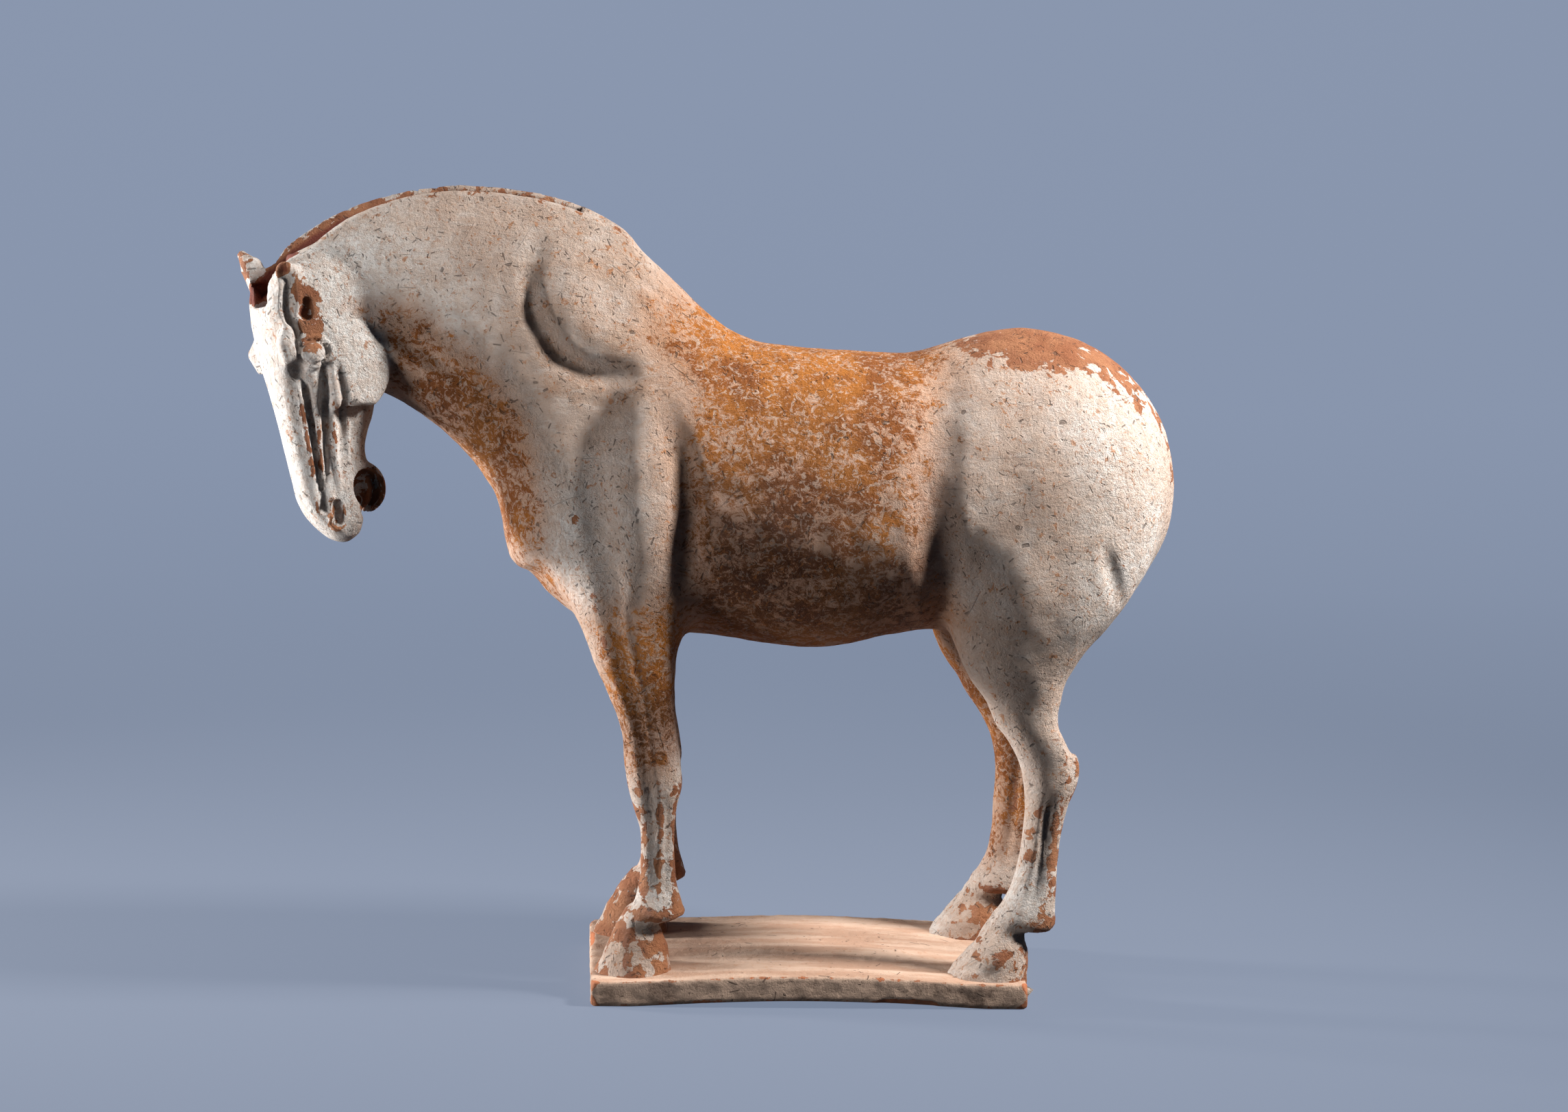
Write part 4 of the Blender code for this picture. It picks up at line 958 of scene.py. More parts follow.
# Layers of unevenness: height and width of the lumps in millimetres, seed and octaves.
SKIN_RELIEF = ((0.6, 46.0, 3.1, 2), (0.5, 15.0, 7.7, 3))
HOOF_RELIEF = ((1.6, 19.0, 2.2, 2), (0.8, 7.0, 6.1, 3))
SLAB_RELIEF = ((0.28, 20.0, 4.4, 2), (0.2, 6.0, 8.2, 3))
RIM_RELIEF = ((0.3, 9.0, 5.9, 3),)
BREAK_RELIEF = ((0.25, 4.0, 9.3, 2),)


def lumps(spots, layers):
    """Soft noise of all the layers added up, in millimetres."""
    total = 0
    for height, width, seed, octaves in layers:
        where = (spots / width + seed).tolist()
        total = total + height * np.array([noise.fractal(Vector(p), 1.0, 2.0, octaves) for p in where])
    return total


def soft_step(low, high, value):
    t = np.clip((value - low) / (high - low), 0, 1)
    return t * t * (3 - 2 * t)


# The washes, each a list of places: middle, spread and strength, in the figure's millimetres.
WASHES = {
    # Where ochre was brushed on.
    "ochre": (
        ((-14, 0, 332), (100, 150, 124), 0.88),
        ((8, 0, 410), (92, 80, 34), 0.7),
        ((-84, 0, 432), (44, 80, 34), 0.45),
        ((-272, -30, 420), (34, 70, 24), 0.55),
        ((-246, -30, 398), (38, 70, 28), 0.6),
        ((-222, -20, 366), (36, 70, 38), 0.72),
        ((-198, -10, 330), (30, 80, 44), 0.72),
        ((-184, 0, 288), (30, 80, 40), 0.6),
        ((-150, 0, 250), (40, 80, 24), 0.6),
        ((-112, 0, 222), (34, 130, 46), 0.85),
        ((-106, 0, 170), (24, 130, 40), 0.7),
        ((10, 0, 240), (110, 90, 26), 0.6),
        ((108, 60, 196), (46, 34, 56), 0.85),
        ((138, 60, 120), (46, 34, 66), 0.75),
        ((-98, 60, 90), (24, 30, 60), 0.5),
        ((188, 0, 262), (26, 90, 40), 0.3),
        ((228, 0, 330), (14, 60, 50), 0.3),
    ),
    # Painted shade: the ochre is painted darker where the lower barrel, the top of the foreleg, the throat
    # under the head and the front of the haunch lie in shadow.
    "deep": (
        ((-46, 0, 290), (56, 120, 50), 0.95),
        ((10, 0, 262), (80, 120, 32), 0.8),
        ((-20, 0, 350), (60, 120, 40), 0.45),
        ((-102, 0, 176), (24, 120, 26), 0.8),
        ((-226, -20, 362), (34, 70, 30), 0.55),
        ((62, 0, 300), (16, 120, 70), 0.6),
    ),
    # Where the slip has flaked off to the clay.
    "bare": (
        ((118, 0, 430), (44, 74, 34), 0.66),
        ((158, 0, 420), (46, 74, 34), 0.6),
        ((202, 0, 394), (30, 60, 34), 0.52),
        ((230, 0, 350), (14, 50, 34), 0.5),
        (from_head(38, -19, 26), (9, 13, 15), 0.6),
        (from_head(22, -15, 26), (9, 13, 11), 0.58),
        (from_head(54, -13, 28), (9, 11, 11), 0.55),
        (from_head(6, -2, -31), (9, 9, 9), 0.55),
        (from_head(158, -40, 8), (13, 14, 13), 0.42),
        (from_head(120, -8, 20), (26, 18, 30), 0.3),
        (from_head(168, -6, 14), (18, 18, 16), 0.36),
        ((-96, 0, 20), (48, 90, 34), 0.47),
        ((155, 0, 20), (54, 90, 34), 0.47),
        ((-98, 0, 80), (34, 90, 70), 0.3),
        ((180, 0, 90), (44, 90, 70), 0.3),
        ((-150, 0, 250), (40, 90, 60), 0.3),
        ((-190, -10, 330), (40, 80, 50), 0.26),
    ),
    # Where the slip lies thin, so that the clay warms it.
    "thin": (
        ((-170, 0, 480), (90, 90, 50), 0.7),
        ((-140, 0, 400), (80, 120, 60), 0.9),
        ((-110, 0, 290), (40, 120, 80), 0.7),
        ((108, 0, 320), (60, 120, 110), 0.85),
        ((150, 0, 180), (46, 120, 90), 0.5),
        ((40, 0, 240), (120, 90, 26), 0.7),
        ((-96, 0, 26), (50, 90, 22), 1.0),
        ((155, 0, 26), (56, 90, 24), 1.0),
    ),
}


# A wash fades out between these shares of its spread, and covers no more than this.
WASH_EDGE = (0.5, 1.3)
FULLEST_WASH = 0.9


def washed(spots, places):
    """How much of a wash each point gets from all of its places."""
    left = np.ones(len(spots))
    for middle, spread, strength in places:
        gap = np.linalg.norm((spots - middle) / np.array(spread, float), axis=1, ord=3)
        left *= 1 - strength * (1 - soft_step(*WASH_EDGE, gap))
    return np.minimum(1 - left, FULLEST_WASH)


def inside(spots, middle, radii):
    return np.linalg.norm((spots - middle) / radii, axis=1) < 1


def inside_the_openings(spots):
    """Points inside the slots, the socket, the temple pits, the ear, the nostrils and the mouth, each with the
    share that is bared and darkened as painted shade.
    """
    down, ahead, side = in_head(*spots.T)
    forehead = (np.abs(side) < FOREHEAD_SLOT_HALF + 0.1) & (down > -4) & (down < FOREHEAD_SLOT_END + 1)
    forehead &= (ahead < -5.0) & (ahead > -24)
    tail = inside(spots, (222, 0, 354), (11, 9, 9))
    on_axes = np.stack([down, ahead, side], 1)
    temple_or_ear = inside(on_axes, (37, -12.6, 22), (7.5, 5.5, 7)) | inside(on_axes, (9, -4, 27), (7, 5, 5))
    mouth = np.hypot((down - MOUTH[0]) / MOUTH_SPREAD[0], (ahead - MOUTH[1]) / MOUTH_SPREAD[1]) < 1.02
    mouth &= np.abs(side) < 11.5
    nostril = (np.hypot((down - 165) / 8, (ahead + 12) / 3.6) < 1) & (np.abs(side) < 18.5)
    deep = (forehead | tail).astype(float)
    return np.maximum(deep, np.where(temple_or_ear, 0.85, np.where(mouth | nostril, 0.58, 0)))


def mane_walls(spots):
    """Points on the inner walls and the floor of the mane slot."""
    x, y, z = spots.T
    radius, angle, crest, shift = by_crest(x, z)
    between = np.abs(y - shift) < MANE_SLOT_WIDTH / 2 + 0.7
    rim = np.where(angle > 101, 1.2, 5.0)
    deep = (radius < crest - rim) & (radius > crest - MANE_SLOT_DEPTH - 2)
    return between & deep & (angle > 72) & (angle < 124)


def paint_horse(net, spots):
    """Stores on the net where each finish and each painted shade lies, for the material to read."""
    bulge = net.bulge(4)
    opened = np.maximum(inside_the_openings(spots), mane_walls(spots))
    down, ahead, side = in_head(*spots.T)
    from_cheek = np.hypot(down - CHEEK[0], ahead - CHEEK[1]) - CHEEK_RADIUS
    off_head = np.where((np.abs(side) > 12) & (down > 0), soft_step(-2, 4, from_cheek), 1)
    on_head = (down > 0) & (ahead > BEHIND_JAW) & (spots[:, 0] < HEAD_REAR)
    layers = {name: washed(spots, places) for name, places in WASHES.items()}
    layers["ochre"] *= off_head
    net.paint(
        **layers,
        opened=net.evened(opened, 2),
        chalk=net.evened(on_head.astype(float), 3),
        edge=soft_step(0.1, 0.6, bulge) * np.where(on_head, 0.78, 1),
        # hollow: how far each point lies in a crease, where the material paints soil and shade.
        hollow=soft_step(0.12, 0.7, -bulge),
    )


# The share of the hand relief on the head and on the legs, where the legs end and where the hooves do.
HEAD_CALM = 0.35
LEG_CALM = 0.55
LEG_TOP = 175
HOOF_TOP = (44, 62)

# Along the crease round the shoulder mass, where slip pooled: x, z, half width, depth of the slip.
POOLED_SLIP = (
    (-180, 470, 12, 0.0),
    (-183, 442, 13, 2.6),
    (-174, 420, 14, 4.0),
    (-157, 402, 14, 4.0),
    (-140, 396, 14, 3.0),
    (-120, 399, 12, 0.0),
)


def hand_relief(spots):
    """The unevenness that fingers, paddle and burial left, in millimetres along the skin."""
    down = in_head(*spots.T)[0]
    calm = np.where((spots[:, 0] < HEAD_REAR) & (down > ABOVE_POLL), HEAD_CALM, 1.0)
    relief = np.where(spots[:, 2] < LEG_TOP, LEG_CALM, calm) * lumps(spots, SKIN_RELIEF)
    away, width, slip = drawn(spots[:, 0], spots[:, 2], POOLED_SLIP)
    relief += slip * (1 - soft_step(0, 1, away / width))
    return relief + (1 - soft_step(*HOOF_TOP, spots[:, 2])) * lumps(spots, HOOF_RELIEF)


def model_horse(sizes):
    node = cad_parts[NODE]
    place = figure_place(node)
    obj = skin_without_slab(node, place)
    remeshed(obj, sizes.grain)
    finer_head(obj, place)
    net = Net(obj)
    net.points = net.evened(net.points, 3)
    net.store()
    clay = figure()
    for _ in range(3):
        draw_onto(net, clay, place)
    iron(net, fitted(clay, net.points - place))
    draw_onto(net, clay, place)
    net.push(hand_relief(net.points - place) * sizes.relief)
    paint_horse(net, net.points - place)
    obj.data.shade_smooth()
    return obj


# Lost corners and chips of the slab: middle of the break, the way it faces, and its reach and bite.
SLAB_BREAKS = (
    ((-138.5, -79, 15), (-0.75, -0.45, 0.3), 16, 1.4),
    ((-138, -80, 2), (-0.6, -0.7, -0.3), 12, 1.8),
    ((-138.5, 79, 12), (-0.9, 0.4, 0.1), 26, 3.2),
    ((-138, 30, 16), (-0.8, 0, 0.6), 18, 1.2),
    ((2.5, -80, 20.5), (0.1, -0.75, 0.66), 5.5, 2.0),
    ((-22, -80, 20.5), (0, -0.6, 0.8), 22, 0.9),
    ((44, -80, 19.5), (0, -0.7, 0.7), 16, 0.8),
    ((96, -80, 18), (0.1, -0.7, 0.7), 18, 0.9),
    ((138, -79, 15), (0.75, -0.5, 0.4), 14, 1.6),
    ((137, -80, 1.5), (0.6, -0.7, -0.4), 10, 1.5),
    ((62, -80, 2), (0, -0.75, -0.66), 20, 0.9),
    ((-70, -80, 0.5), (0, -0.75, -0.66), 16, 1.0),
    ((138, 60, 16), (0.8, 0.2, 0.55), 22, 1.3),
    ((40, 80, 19), (0, 0.7, 0.7), 26, 1.1),
    ((-60, 80, 17), (0, 0.75, 0.66), 20, 0.9),
)

# Steps and strokes left on the slab's top by the wiping of the clay: path, width and depth.
SLAB_STROKES = (
    (((-112, -52), (-40, -54), (30, -55), (110, -52)), 7, 0.9),
    (((-96, -8), (-20, -11), (60, -9), (104, -6)), 9, -0.9),
    (((-100, 44), (0, 47), (100, 45)), 7, 0.7),
    (((-70, 20), (30, 17)), 12, -0.4),
)


def model_slab(sizes):
    body = bmesh.new()
    bmesh.ops.create_cube(body, size=1.0)
    bmesh.ops.scale(body, vec=Vector((SLAB_LENGTH, SLAB_WIDTH, SLAB_THICK)) * MM, verts=body.verts)
    bmesh.ops.translate(body, vec=Vector((0, 0, SLAB_THICK / 2)) * MM, verts=body.verts)
    bevelled(body, list(body.edges), sizes.slab_edge, 3)
    obj = linked_mesh("slab", body)
    remeshed(obj, sizes.slab_grain)
    net = Net(obj)
    flat = net.points.copy()
    worn = np.zeros(net.count)
    for middle, facing, reach, bite in SLAB_BREAKS:
        normal = np.array(facing) / np.linalg.norm(facing)
        gap = net.points - middle + normal * bite
        beyond = np.maximum((gap * normal).sum(axis=1) + lumps(net.points, BREAK_RELIEF), 0)
        near = 1 - soft_step(0.7, 1.0, np.linalg.norm(net.points - middle, axis=1) / reach)
        net.points -= (beyond * near)[:, None] * normal
        worn = np.maximum(worn, soft_step(0.05, 0.5, beyond * near))
    top = soft_step(SLAB_THICK - 4, SLAB_THICK - 0.6, flat[:, 2])
    for path, width, depth in SLAB_STROKES:
        gap = drawn(flat[:, 0], flat[:, 1], [(*knot, width, depth) for knot in path])[0]
        net.points[:, 2] -= top * (depth * (1 - soft_step(0, width, gap))) * sizes.relief
    net.store()
    rough = lumps(flat, SLAB_RELIEF)
    from_rim = np.minimum(SLAB_LENGTH / 2 - np.abs(flat[:, 0]), SLAB_WIDTH / 2 - np.abs(flat[:, 1]))
    rough += np.where(from_rim < 2.5, lumps(flat, RIM_RELIEF) - 0.2, 0)
    above = flat[:, 2] > 0.4
    net.push(np.where(above, rough, 0) * sizes.relief)
    net.points[:, 2] = np.maximum(net.points[:, 2], 0)
    net.points[:, 2] += slab_lift(net.points[:, 0])
    net.points += figure_place(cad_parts[NODE])
    net.store()
    bulge = net.bulge(3)
    net.paint(
        top=soft_step(0.55, 0.85, net.normals()[:, 2]),
        bare=net.evened(worn),
        edge=soft_step(0.1, 0.5, bulge),
        # hollow: creases, where the slab's material paints soil and shade.
        hollow=soft_step(0.1, 0.5, -bulge),
    )
    obj.data.shade_smooth()
    return obj


def linear(hex_colour):
    """An sRGB hex colour as the linear numbers that Blender's sockets take, with full alpha."""
    parts = [int(hex_colour[i : i + 2], 16) / 255 for i in (1, 3, 5)]
    return (*(p / 12.92 if p <= 0.04045 else ((p + 0.055) / 1.055) ** 2.4 for p in parts), 1.0)


# The steps that a material is built from: node, settings, the sockets that the values go to, and the output.
STEPS = {
    "place": ("ShaderNodeTexCoord", {}, (), "Object"),
    "depth": ("ShaderNodeSeparateXYZ", {}, (0,), "Y"),
    "painted": ("ShaderNodeAttribute", {}, (), "Fac"),
    "turned": ("ShaderNodeMapping", {}, ("Vector", "Scale", "Rotation"), "Vector"),
    "grain": ("ShaderNodeTexNoise", {}, ("Vector", "Scale", "Detail", "Roughness", "Distortion"), "Fac"),
    "cells": ("ShaderNodeTexVoronoi", {}, ("Vector", "Scale"), None),
    "between": (
        "ShaderNodeMapRange",
        {"interpolation_type": "SMOOTHSTEP"},
        ("Value", "From Min", "From Max", "To Min", "To Max"),
        "Result",
    ),
    "blend": ("ShaderNodeMix", {"data_type": "RGBA"}, (0, 6, 7), 2),
    "bump": ("ShaderNodeBump", {}, ("Height", "Distance", "Strength"), "Normal"),
    "away": ("ShaderNodeVectorMath", {"operation": "SUBTRACT"}, (0, 1), "Vector"),
    "unit": ("ShaderNodeVectorMath", {"operation": "NORMALIZE"}, (0,), "Vector"),
    "along": ("ShaderNodeVectorMath", {"operation": "DOT_PRODUCT"}, (0, 1), "Value"),
    "times": ("ShaderNodeMath", {"operation": "MULTIPLY"}, (0, 1), 0),
    "times_plus": ("ShaderNodeMath", {"operation": "MULTIPLY_ADD"}, (0, 1, 2), 0),
    "less": ("ShaderNodeMath", {"operation": "SUBTRACT"}, (0, 1), 0),
    "most": ("ShaderNodeMath", {"operation": "MAXIMUM"}, (0, 1), 0),
    "size": ("ShaderNodeMath", {"operation": "ABSOLUTE"}, (0,), 0),
    "fraction": ("ShaderNodeMath", {"operation": "FRACT"}, (0,), 0),
    "below": ("ShaderNodeMath", {"operation": "LESS_THAN"}, (0, 1), 0),
}


def add(tree, step, *values, **settings):
    """Adds a step's node with its settings and its values, each a socket or plain, and gives its output."""
    kind, fixed, sockets, output = STEPS[step]
    made = tree.nodes.new(kind)
    for name, value in {**fixed, **settings}.items():
        setattr(made, name, value)
    for name, value in zip(sockets, values):
        if isinstance(value, bpy.types.NodeSocket):
            tree.links.new(value, made.inputs[name])
        else:
            made.inputs[name].default_value = value
    return made if output is None else made.outputs[output]


def painted(mix, *names):
    return [mix("painted", attribute_name=name) for name in names]


def grains(mix, *rows):
    """Cloudy noises: where, width of a lump in millimetres, detail, roughness and how much it curls."""
    return [mix("grain", where, 1000 / size_mm, *more) for where, size_mm, *more in rows]


def layered(mix, under, *layers):
    """Lays each colour over the one under it: pattern, low, high, share at low, share at high, colour."""
    for pattern, low, high, least, most, over in layers:
        under = mix("blend", mix("between", pattern, low, high, least, most), under, over)
    return under


def piled(mix, *layers):
    """Adds up patterns, each with its height in millimetres."""
    (pattern, rise), *more = layers
    height = mix("times", pattern, rise)
    for pattern, rise in more:
        height = mix("times_plus", pattern, rise, height)
    return height


def straight_cuts(mix, place, size_mm, width_mm, reach, kept, turn=(0.0, 0.0, 0.0)):
    """Straight cuts, each its own way, one in each cell size_mm across: 1 on a cut and 0 off it.

    reach is half a cut's length as a share of its cell, and kept is the share of the cells that have one.
    """
    where = mix("turned", place, (1, 1, 1), turn)
    cells = mix("cells", where, 1000 / size_mm).outputs
    way = mix("unit", mix("away", cells["Color"], (0.5, 0.5, 0.5)))
    off = mix("size", mix("along", mix("away", where, cells["Position"]), way))
    cut = mix("between", off, 0.3 * width_mm * MM, 0.6 * width_mm * MM, 1.0, 0.0)
    cut = mix("times", cut, mix("between", cells["Distance"], 0.7 * reach, reach, 1.0, 0.0))
    chance = mix("fraction", mix("along", cells["Color"], (7.0, 13.0, 29.0)))
    return mix("times", cut, mix("below", chance, kept))


def worn_slip_on_clay(mix, place, colours):
    """White slip brushed over fired orange clay, with an ochre wash, all worn by burial.

    Dead matt and chalky. The slip flakes off in jagged islands about a third of a millimetre thick and leaves
    smooth, slightly tighter clay; the ochre sits in streaky flecks with the slip showing between them. Painted
    shade darkens the ochre where the body lies in shadow, and darkens the hollows and the insides of the
    openings.
    """
    streaked = mix("turned", place, (0.8, 1, 1), (0, 0.6, 0))
    strokes = mix("turned", place, (0.2, 1, 1), (0, 0.9, 0))
    cloud, patch, mottle, flake, streaks, chalk, brushed, fine, curled, specked, dented = grains(
        mix,
        (place, 60, 3.0, 0.55, 0.0),
        (place, 20, 5.0, 0.6, 0.0),
        (place, 6, 6.0, 0.78, 0.0),
        (place, 9, 7.0, 0.62, 0.4),
        (streaked, 7, 9.0, 0.8, 0.6),
        (place, 1.6, 3.0, 0.7, 0.0),
        (strokes, 4, 4.0, 0.6, 0.0),
        (place, 2.4, 4.0, 0.75, 0.0),
        (place, 5, 6.0, 0.72, 1.4),
        (place, 4.2, 4.0, 0.65, 0.8),
        (place, 2.8, 2.0, 0.6, 0.0),
    )
    edge, hollow, opened, thin, laid, thick, lost, white = painted(
        mix, "edge", "hollow", "opened", "thin", "ochre", "deep", "bare", "chalk"
    )

    # Slip: chalk white where it is thick, warmed by the clay where it is thin.
    slip = layered(mix, colours.slip, (cloud, 0.38, 0.62, 0, 0.5, colours.slip_shade))
    warmed = mix("times", thin, mix("between", patch, 0.3, 0.7, 0.45, 1.0))
    slip = mix("blend", warmed, slip, colours.slip_thin)
    slip = layered(
        mix,
        slip,
        (mottle, 0.47, 0.56, 0, 0.55, colours.slip_shade),
        (fine, 0.54, 0.64, 0, 0.45, colours.dust),
        (brushed, 0.56, 0.66, 0, 0.3, colours.slip),
    )
    whitest = mix("times", white, mix("between", mottle, 0.4, 0.56, 0.9, 0.3))
    slip = mix("blend", whitest, slip, colours.slip_white)

    # Ochre: flecks and streaks over a faint stain, thickest in the middle of each wash.
    wash = mix("times_plus", patch, 0.25, mix("times_plus", laid, 0.42, streaks))
    wash_share = mix("between", wash, 0.89, 0.95)
    # Painted shade: where the 'deep' places lie in shadow, the ochre is painted darker and fewer slip flecks
    # show.
    deep = mix("times", thick, mix("between", streaks, 0.4, 0.56, 0.45, 1.0))
    ochre = layered(
        mix,
        colours.ochre,
        (cloud, 0.46, 0.6, 0, 0.8, colours.ochre_dark),
        (patch, 0.5, 0.66, 0, 0.6, colours.ochre_dark),
        (mottle, 0.52, 0.62, 0, 0.35, colours.ochre_dark),
    )
    ochre = mix("blend", deep, ochre, colours.ochre_in_shade)
    colour = layered(mix, slip, (laid, 0.05, 0.8, 0, 0.5, colours.ochre))
    colour = mix("blend", mix("times", deep, 0.75), colour, colours.ochre_dark)
    colour = mix("blend", wash_share, colour, ochre)
    flecks = mix("times", wash_share, mix("between", curled, 0.54, 0.57, 0, 0.75))
    flecks = mix("times", flecks, mix("between", deep, 0.1, 0.9, 1.0, 0.45))
    colour = mix("blend", flecks, colour, colours.slip_shade)

    # Specks of clay and rust all over the slip.
    speck = mix("times", mix("between", specked, 0.59, 0.63), mix("between", patch, 0.38, 0.54))
    colour = mix("blend", mix("times", speck, 0.7), colour, colours.fleck)

    # Bare clay: flaked places, worn edges and the walls of the openings, painted darker as shade inside the
    # openings.
    lost = mix("times_plus", edge, 0.42, mix("most", lost, opened))
    lost = mix("times_plus", flake, 1.5, mix("less", lost, 1.27))
    bare_share = mix("between", lost, 0.0, 0.035)
    clay = layered(
        mix,
        colours.clay,
        (patch, 0.35, 0.65, 0, 1, colours.clay_dark),
        (mottle, 0.5, 0.62, 0, 0.4, colours.clay_dark),
        (opened, 0.5, 0.98, 0, 1, colours.clay_deep_shaded),
    )
    colour = mix("blend", bare_share, colour, clay)

    # Soil and painted shade in the hollows, and soil in small dents and in the cuts that tools and roots left.
    dents = mix("times", mix("between", dented, 0.64, 0.7), mix("between", patch, 0.42, 0.54))
    dashes = mix(
        "most",
        straight_cuts(mix, place, 6, 0.7, 0.34, 0.6),
        straight_cuts(mix, place, 10, 0.9, 0.3, 0.6, (1, 2, 0)),
    )
    dashes = mix("times", dashes, mix("between", flake, 0.42, 0.52))
    scratch = straight_cuts(mix, place, 24, 0.32, 0.5, 0.6, (0.4, 0.9, 0.2))
    cuts = mix("most", mix("most", dashes, mix("times", scratch, 0.6)), dents)
    soil_and_shade = mix("times", hollow, mix("between", streaks, 0.38, 0.6, 0.05, 0.45))
    soil_and_shade = mix("most", soil_and_shade, mix("times", cuts, 0.6))
    colour = mix("blend", soil_and_shade, colour, colours.soil_and_shade)

    height = piled(
        mix,
        (bare_share, -0.32),
        (patch, 2.4),
        (streaks, 1.6),
        (brushed, 0.35),
        (chalk, 0.3),
        (mottle, 2.9),
        (fine, 0.75),
        (cuts, -1.1),
    )
    return colour, mix("between", bare_share, 0, 1, 0.92, 0.66), height


def grimy_slab_clay(mix, place, colours):
    """The same fired clay almost without slip: a pinkish wash on top, soil on its sides, orange chips.

    Matt and dry. The wash keeps the long wiped strokes, and the pitted sides look darker than the top.
    """
    cloud, wiped, crumb, chalk, dented = grains(
        mix,
        (place, 38, 5.0, 0.6, 0.0),
        (mix("turned", place, (0.22, 1, 1), (0.0, 0.0, 0.0)), 16, 6.0, 0.6, 0.0),
        (place, 5, 7.0, 0.72, 0.0),
        (place, 1.4, 2.0, 0.7, 0.0),
        (place, 3.6, 2.0, 0.6, 0.0),
    )
    top, edge, hollow, chipped = painted(mix, "top", "edge", "hollow", "bare")
    dents = mix("times", mix("between", dented, 0.66, 0.74), mix("between", cloud, 0.46, 0.56))
    cuts = mix("most", dents, straight_cuts(mix, place, 14, 0.7, 0.3, 0.35))

    wash = layered(
        mix,
        colours.slab_wash,
        (wiped, 0.4, 0.6, 0, 1, colours.slab_wash_pale),
        (crumb, 0.54, 0.66, 0, 0.35, colours.clay),
    )
    side = layered(
        mix,
        colours.grime,
        (crumb, 0.44, 0.56, 0, 1, colours.grime_light),
        (cloud, 0.36, 0.54, 0.15, 0.9, colours.slab_wash_pale),
        (crumb, 0.36, 0.44, 0.5, 0.0, colours.soil_and_shade),
    )
    colour = mix("blend", top, side, wash)
    chipped = mix("times_plus", edge, 0.6, chipped)
    chipped = mix("times_plus", crumb, 1.4, mix("less", chipped, 1.22))
    bare_share = mix("between", chipped, 0.0, 0.07)
    clay = layered(mix, colours.clay_dark, (cloud, 0.4, 0.6, 0, 1, colours.clay_rust))
    colour = mix("blend", mix("times", bare_share, 0.85), colour, clay)
    # Soil and painted shade in the hollows, and soil in the cuts.
    soil_and_shade = mix("times", hollow, mix("between", crumb, 0.35, 0.6, 0.2, 0.7))
    soil_and_shade = mix("most", soil_and_shade, mix("times", cuts, 0.7))
    colour = mix("blend", soil_and_shade, colour, colours.soil_and_shade)
    height = piled(mix, (crumb, 1.2), (wiped, 0.8), (bare_share, -0.3), (chalk, 0.12), (cuts, -0.6))
    return colour, mix("between", bare_share, 0, 1, 0.9, 0.8), height


def clay_material(name, recipe, colours):
    """A material whose recipe gives its colour, its roughness and its height in millimetres."""
    material = bpy.data.materials.new(name)
    material.use_nodes = True
    tree = material.node_tree
    mix = partial(add, tree)
    colour, rough, height = recipe(mix, mix("place"), colours)
    found = {"Base Color": colour, "Roughness": rough, "Normal": mix("bump", height, MM, 1.0)}
    for name, value in found.items():
        tree.links.new(value, tree.nodes["Principled BSDF"].inputs[name])
    return material


def number_prop(name, description, default, **more):
    return bpy.props.FloatProperty(name=name, description=description, default=default, **more)


def length_prop(name, description, millimetres):
    return number_prop(name, description, millimetres * MM, min=0.0, unit="LENGTH", subtype="DISTANCE")


def colour_prop(name, description, hex_colour):
    start = linear(hex_colour)
    return bpy.props.FloatVectorProperty(
        name=name, description=description, default=start, min=0.0, max=1.0, size=4, subtype="COLOR"
    )


class ClaySizes(bpy.types.PropertyGroup):
    """Sizes of the net and of the hand relief."""

    grain: length_prop("Horse net", "Width of one face of the horse's net", 2.9)
    slab_grain: length_prop("Slab net", "Width of one face of the slab's net", 1.55)
    slab_edge: length_prop("Slab edge", "How far the slab's edges are worn back", SLAB_BEVEL)
    relief: number_prop(
        "Hand relief", "Share of the unevenness left by hand", 1.0, min=0.0, max=3.0, subtype="FACTOR"
    )


class ClayColours(bpy.types.PropertyGroup):
    """Colours of the slip, the ochre, the clay and the soil."""

    slip: colour_prop("Slip", "Chalk-white slip where it is thick", "#ECE5DF")
    slip_white: colour_prop("Head slip", "The whitest slip, on the head", "#F7F3EF")
    slip_shade: colour_prop("Slip shade", "Slip where it is rubbed", "#D3BAA8")
    slip_thin: colour_prop("Thin slip", "Slip that the clay shows through", "#B58F74")
    dust: colour_prop("Dust", "Fine dust in the slip", "#C49B7E")
    ochre: colour_prop("Ochre", "Brushed ochre wash", "#C0762A")
    ochre_dark: colour_prop("Dark ochre", "Ochre where it is thick", "#8A4A15")
    # The deep ochre is painted shade, laid where the body lies in shadow.
    ochre_in_shade: colour_prop("Deep ochre", "Ochre in its thickest places", "#4A240A")
    fleck: colour_prop("Fleck", "Specks of ochre and clay in the slip", "#B9753A")
    clay: colour_prop("Clay", "Bare fired clay", "#B57A52")
    clay_dark: colour_prop("Dark clay", "Bare clay where it fired darker", "#9A5C36")
    clay_rust: colour_prop("Rust clay", "Fresh broken clay", "#BC6228")
    # The deep clay is bare clay with painted shade, inside the openings.
    clay_deep_shaded: colour_prop("Deep clay", "Clay inside the openings", "#7A2E12")
    # This colour serves for soil and for the painted shade in the hollows.
    soil_and_shade: colour_prop("Soil", "Burial soil in the hollows", "#4B382B")
    slab_wash: colour_prop("Slab wash", "Pinkish wash on the slab", "#BE9A83")
    slab_wash_pale: colour_prop("Pale slab wash", "Wash where it is wiped thick", "#D2B5A0")
    grime: colour_prop("Grime", "Dark soil on the slab's sides", "#6E594B")
    grime_light: colour_prop("Light grime", "Soil on the slab's sides where it is thin", "#8B7465")


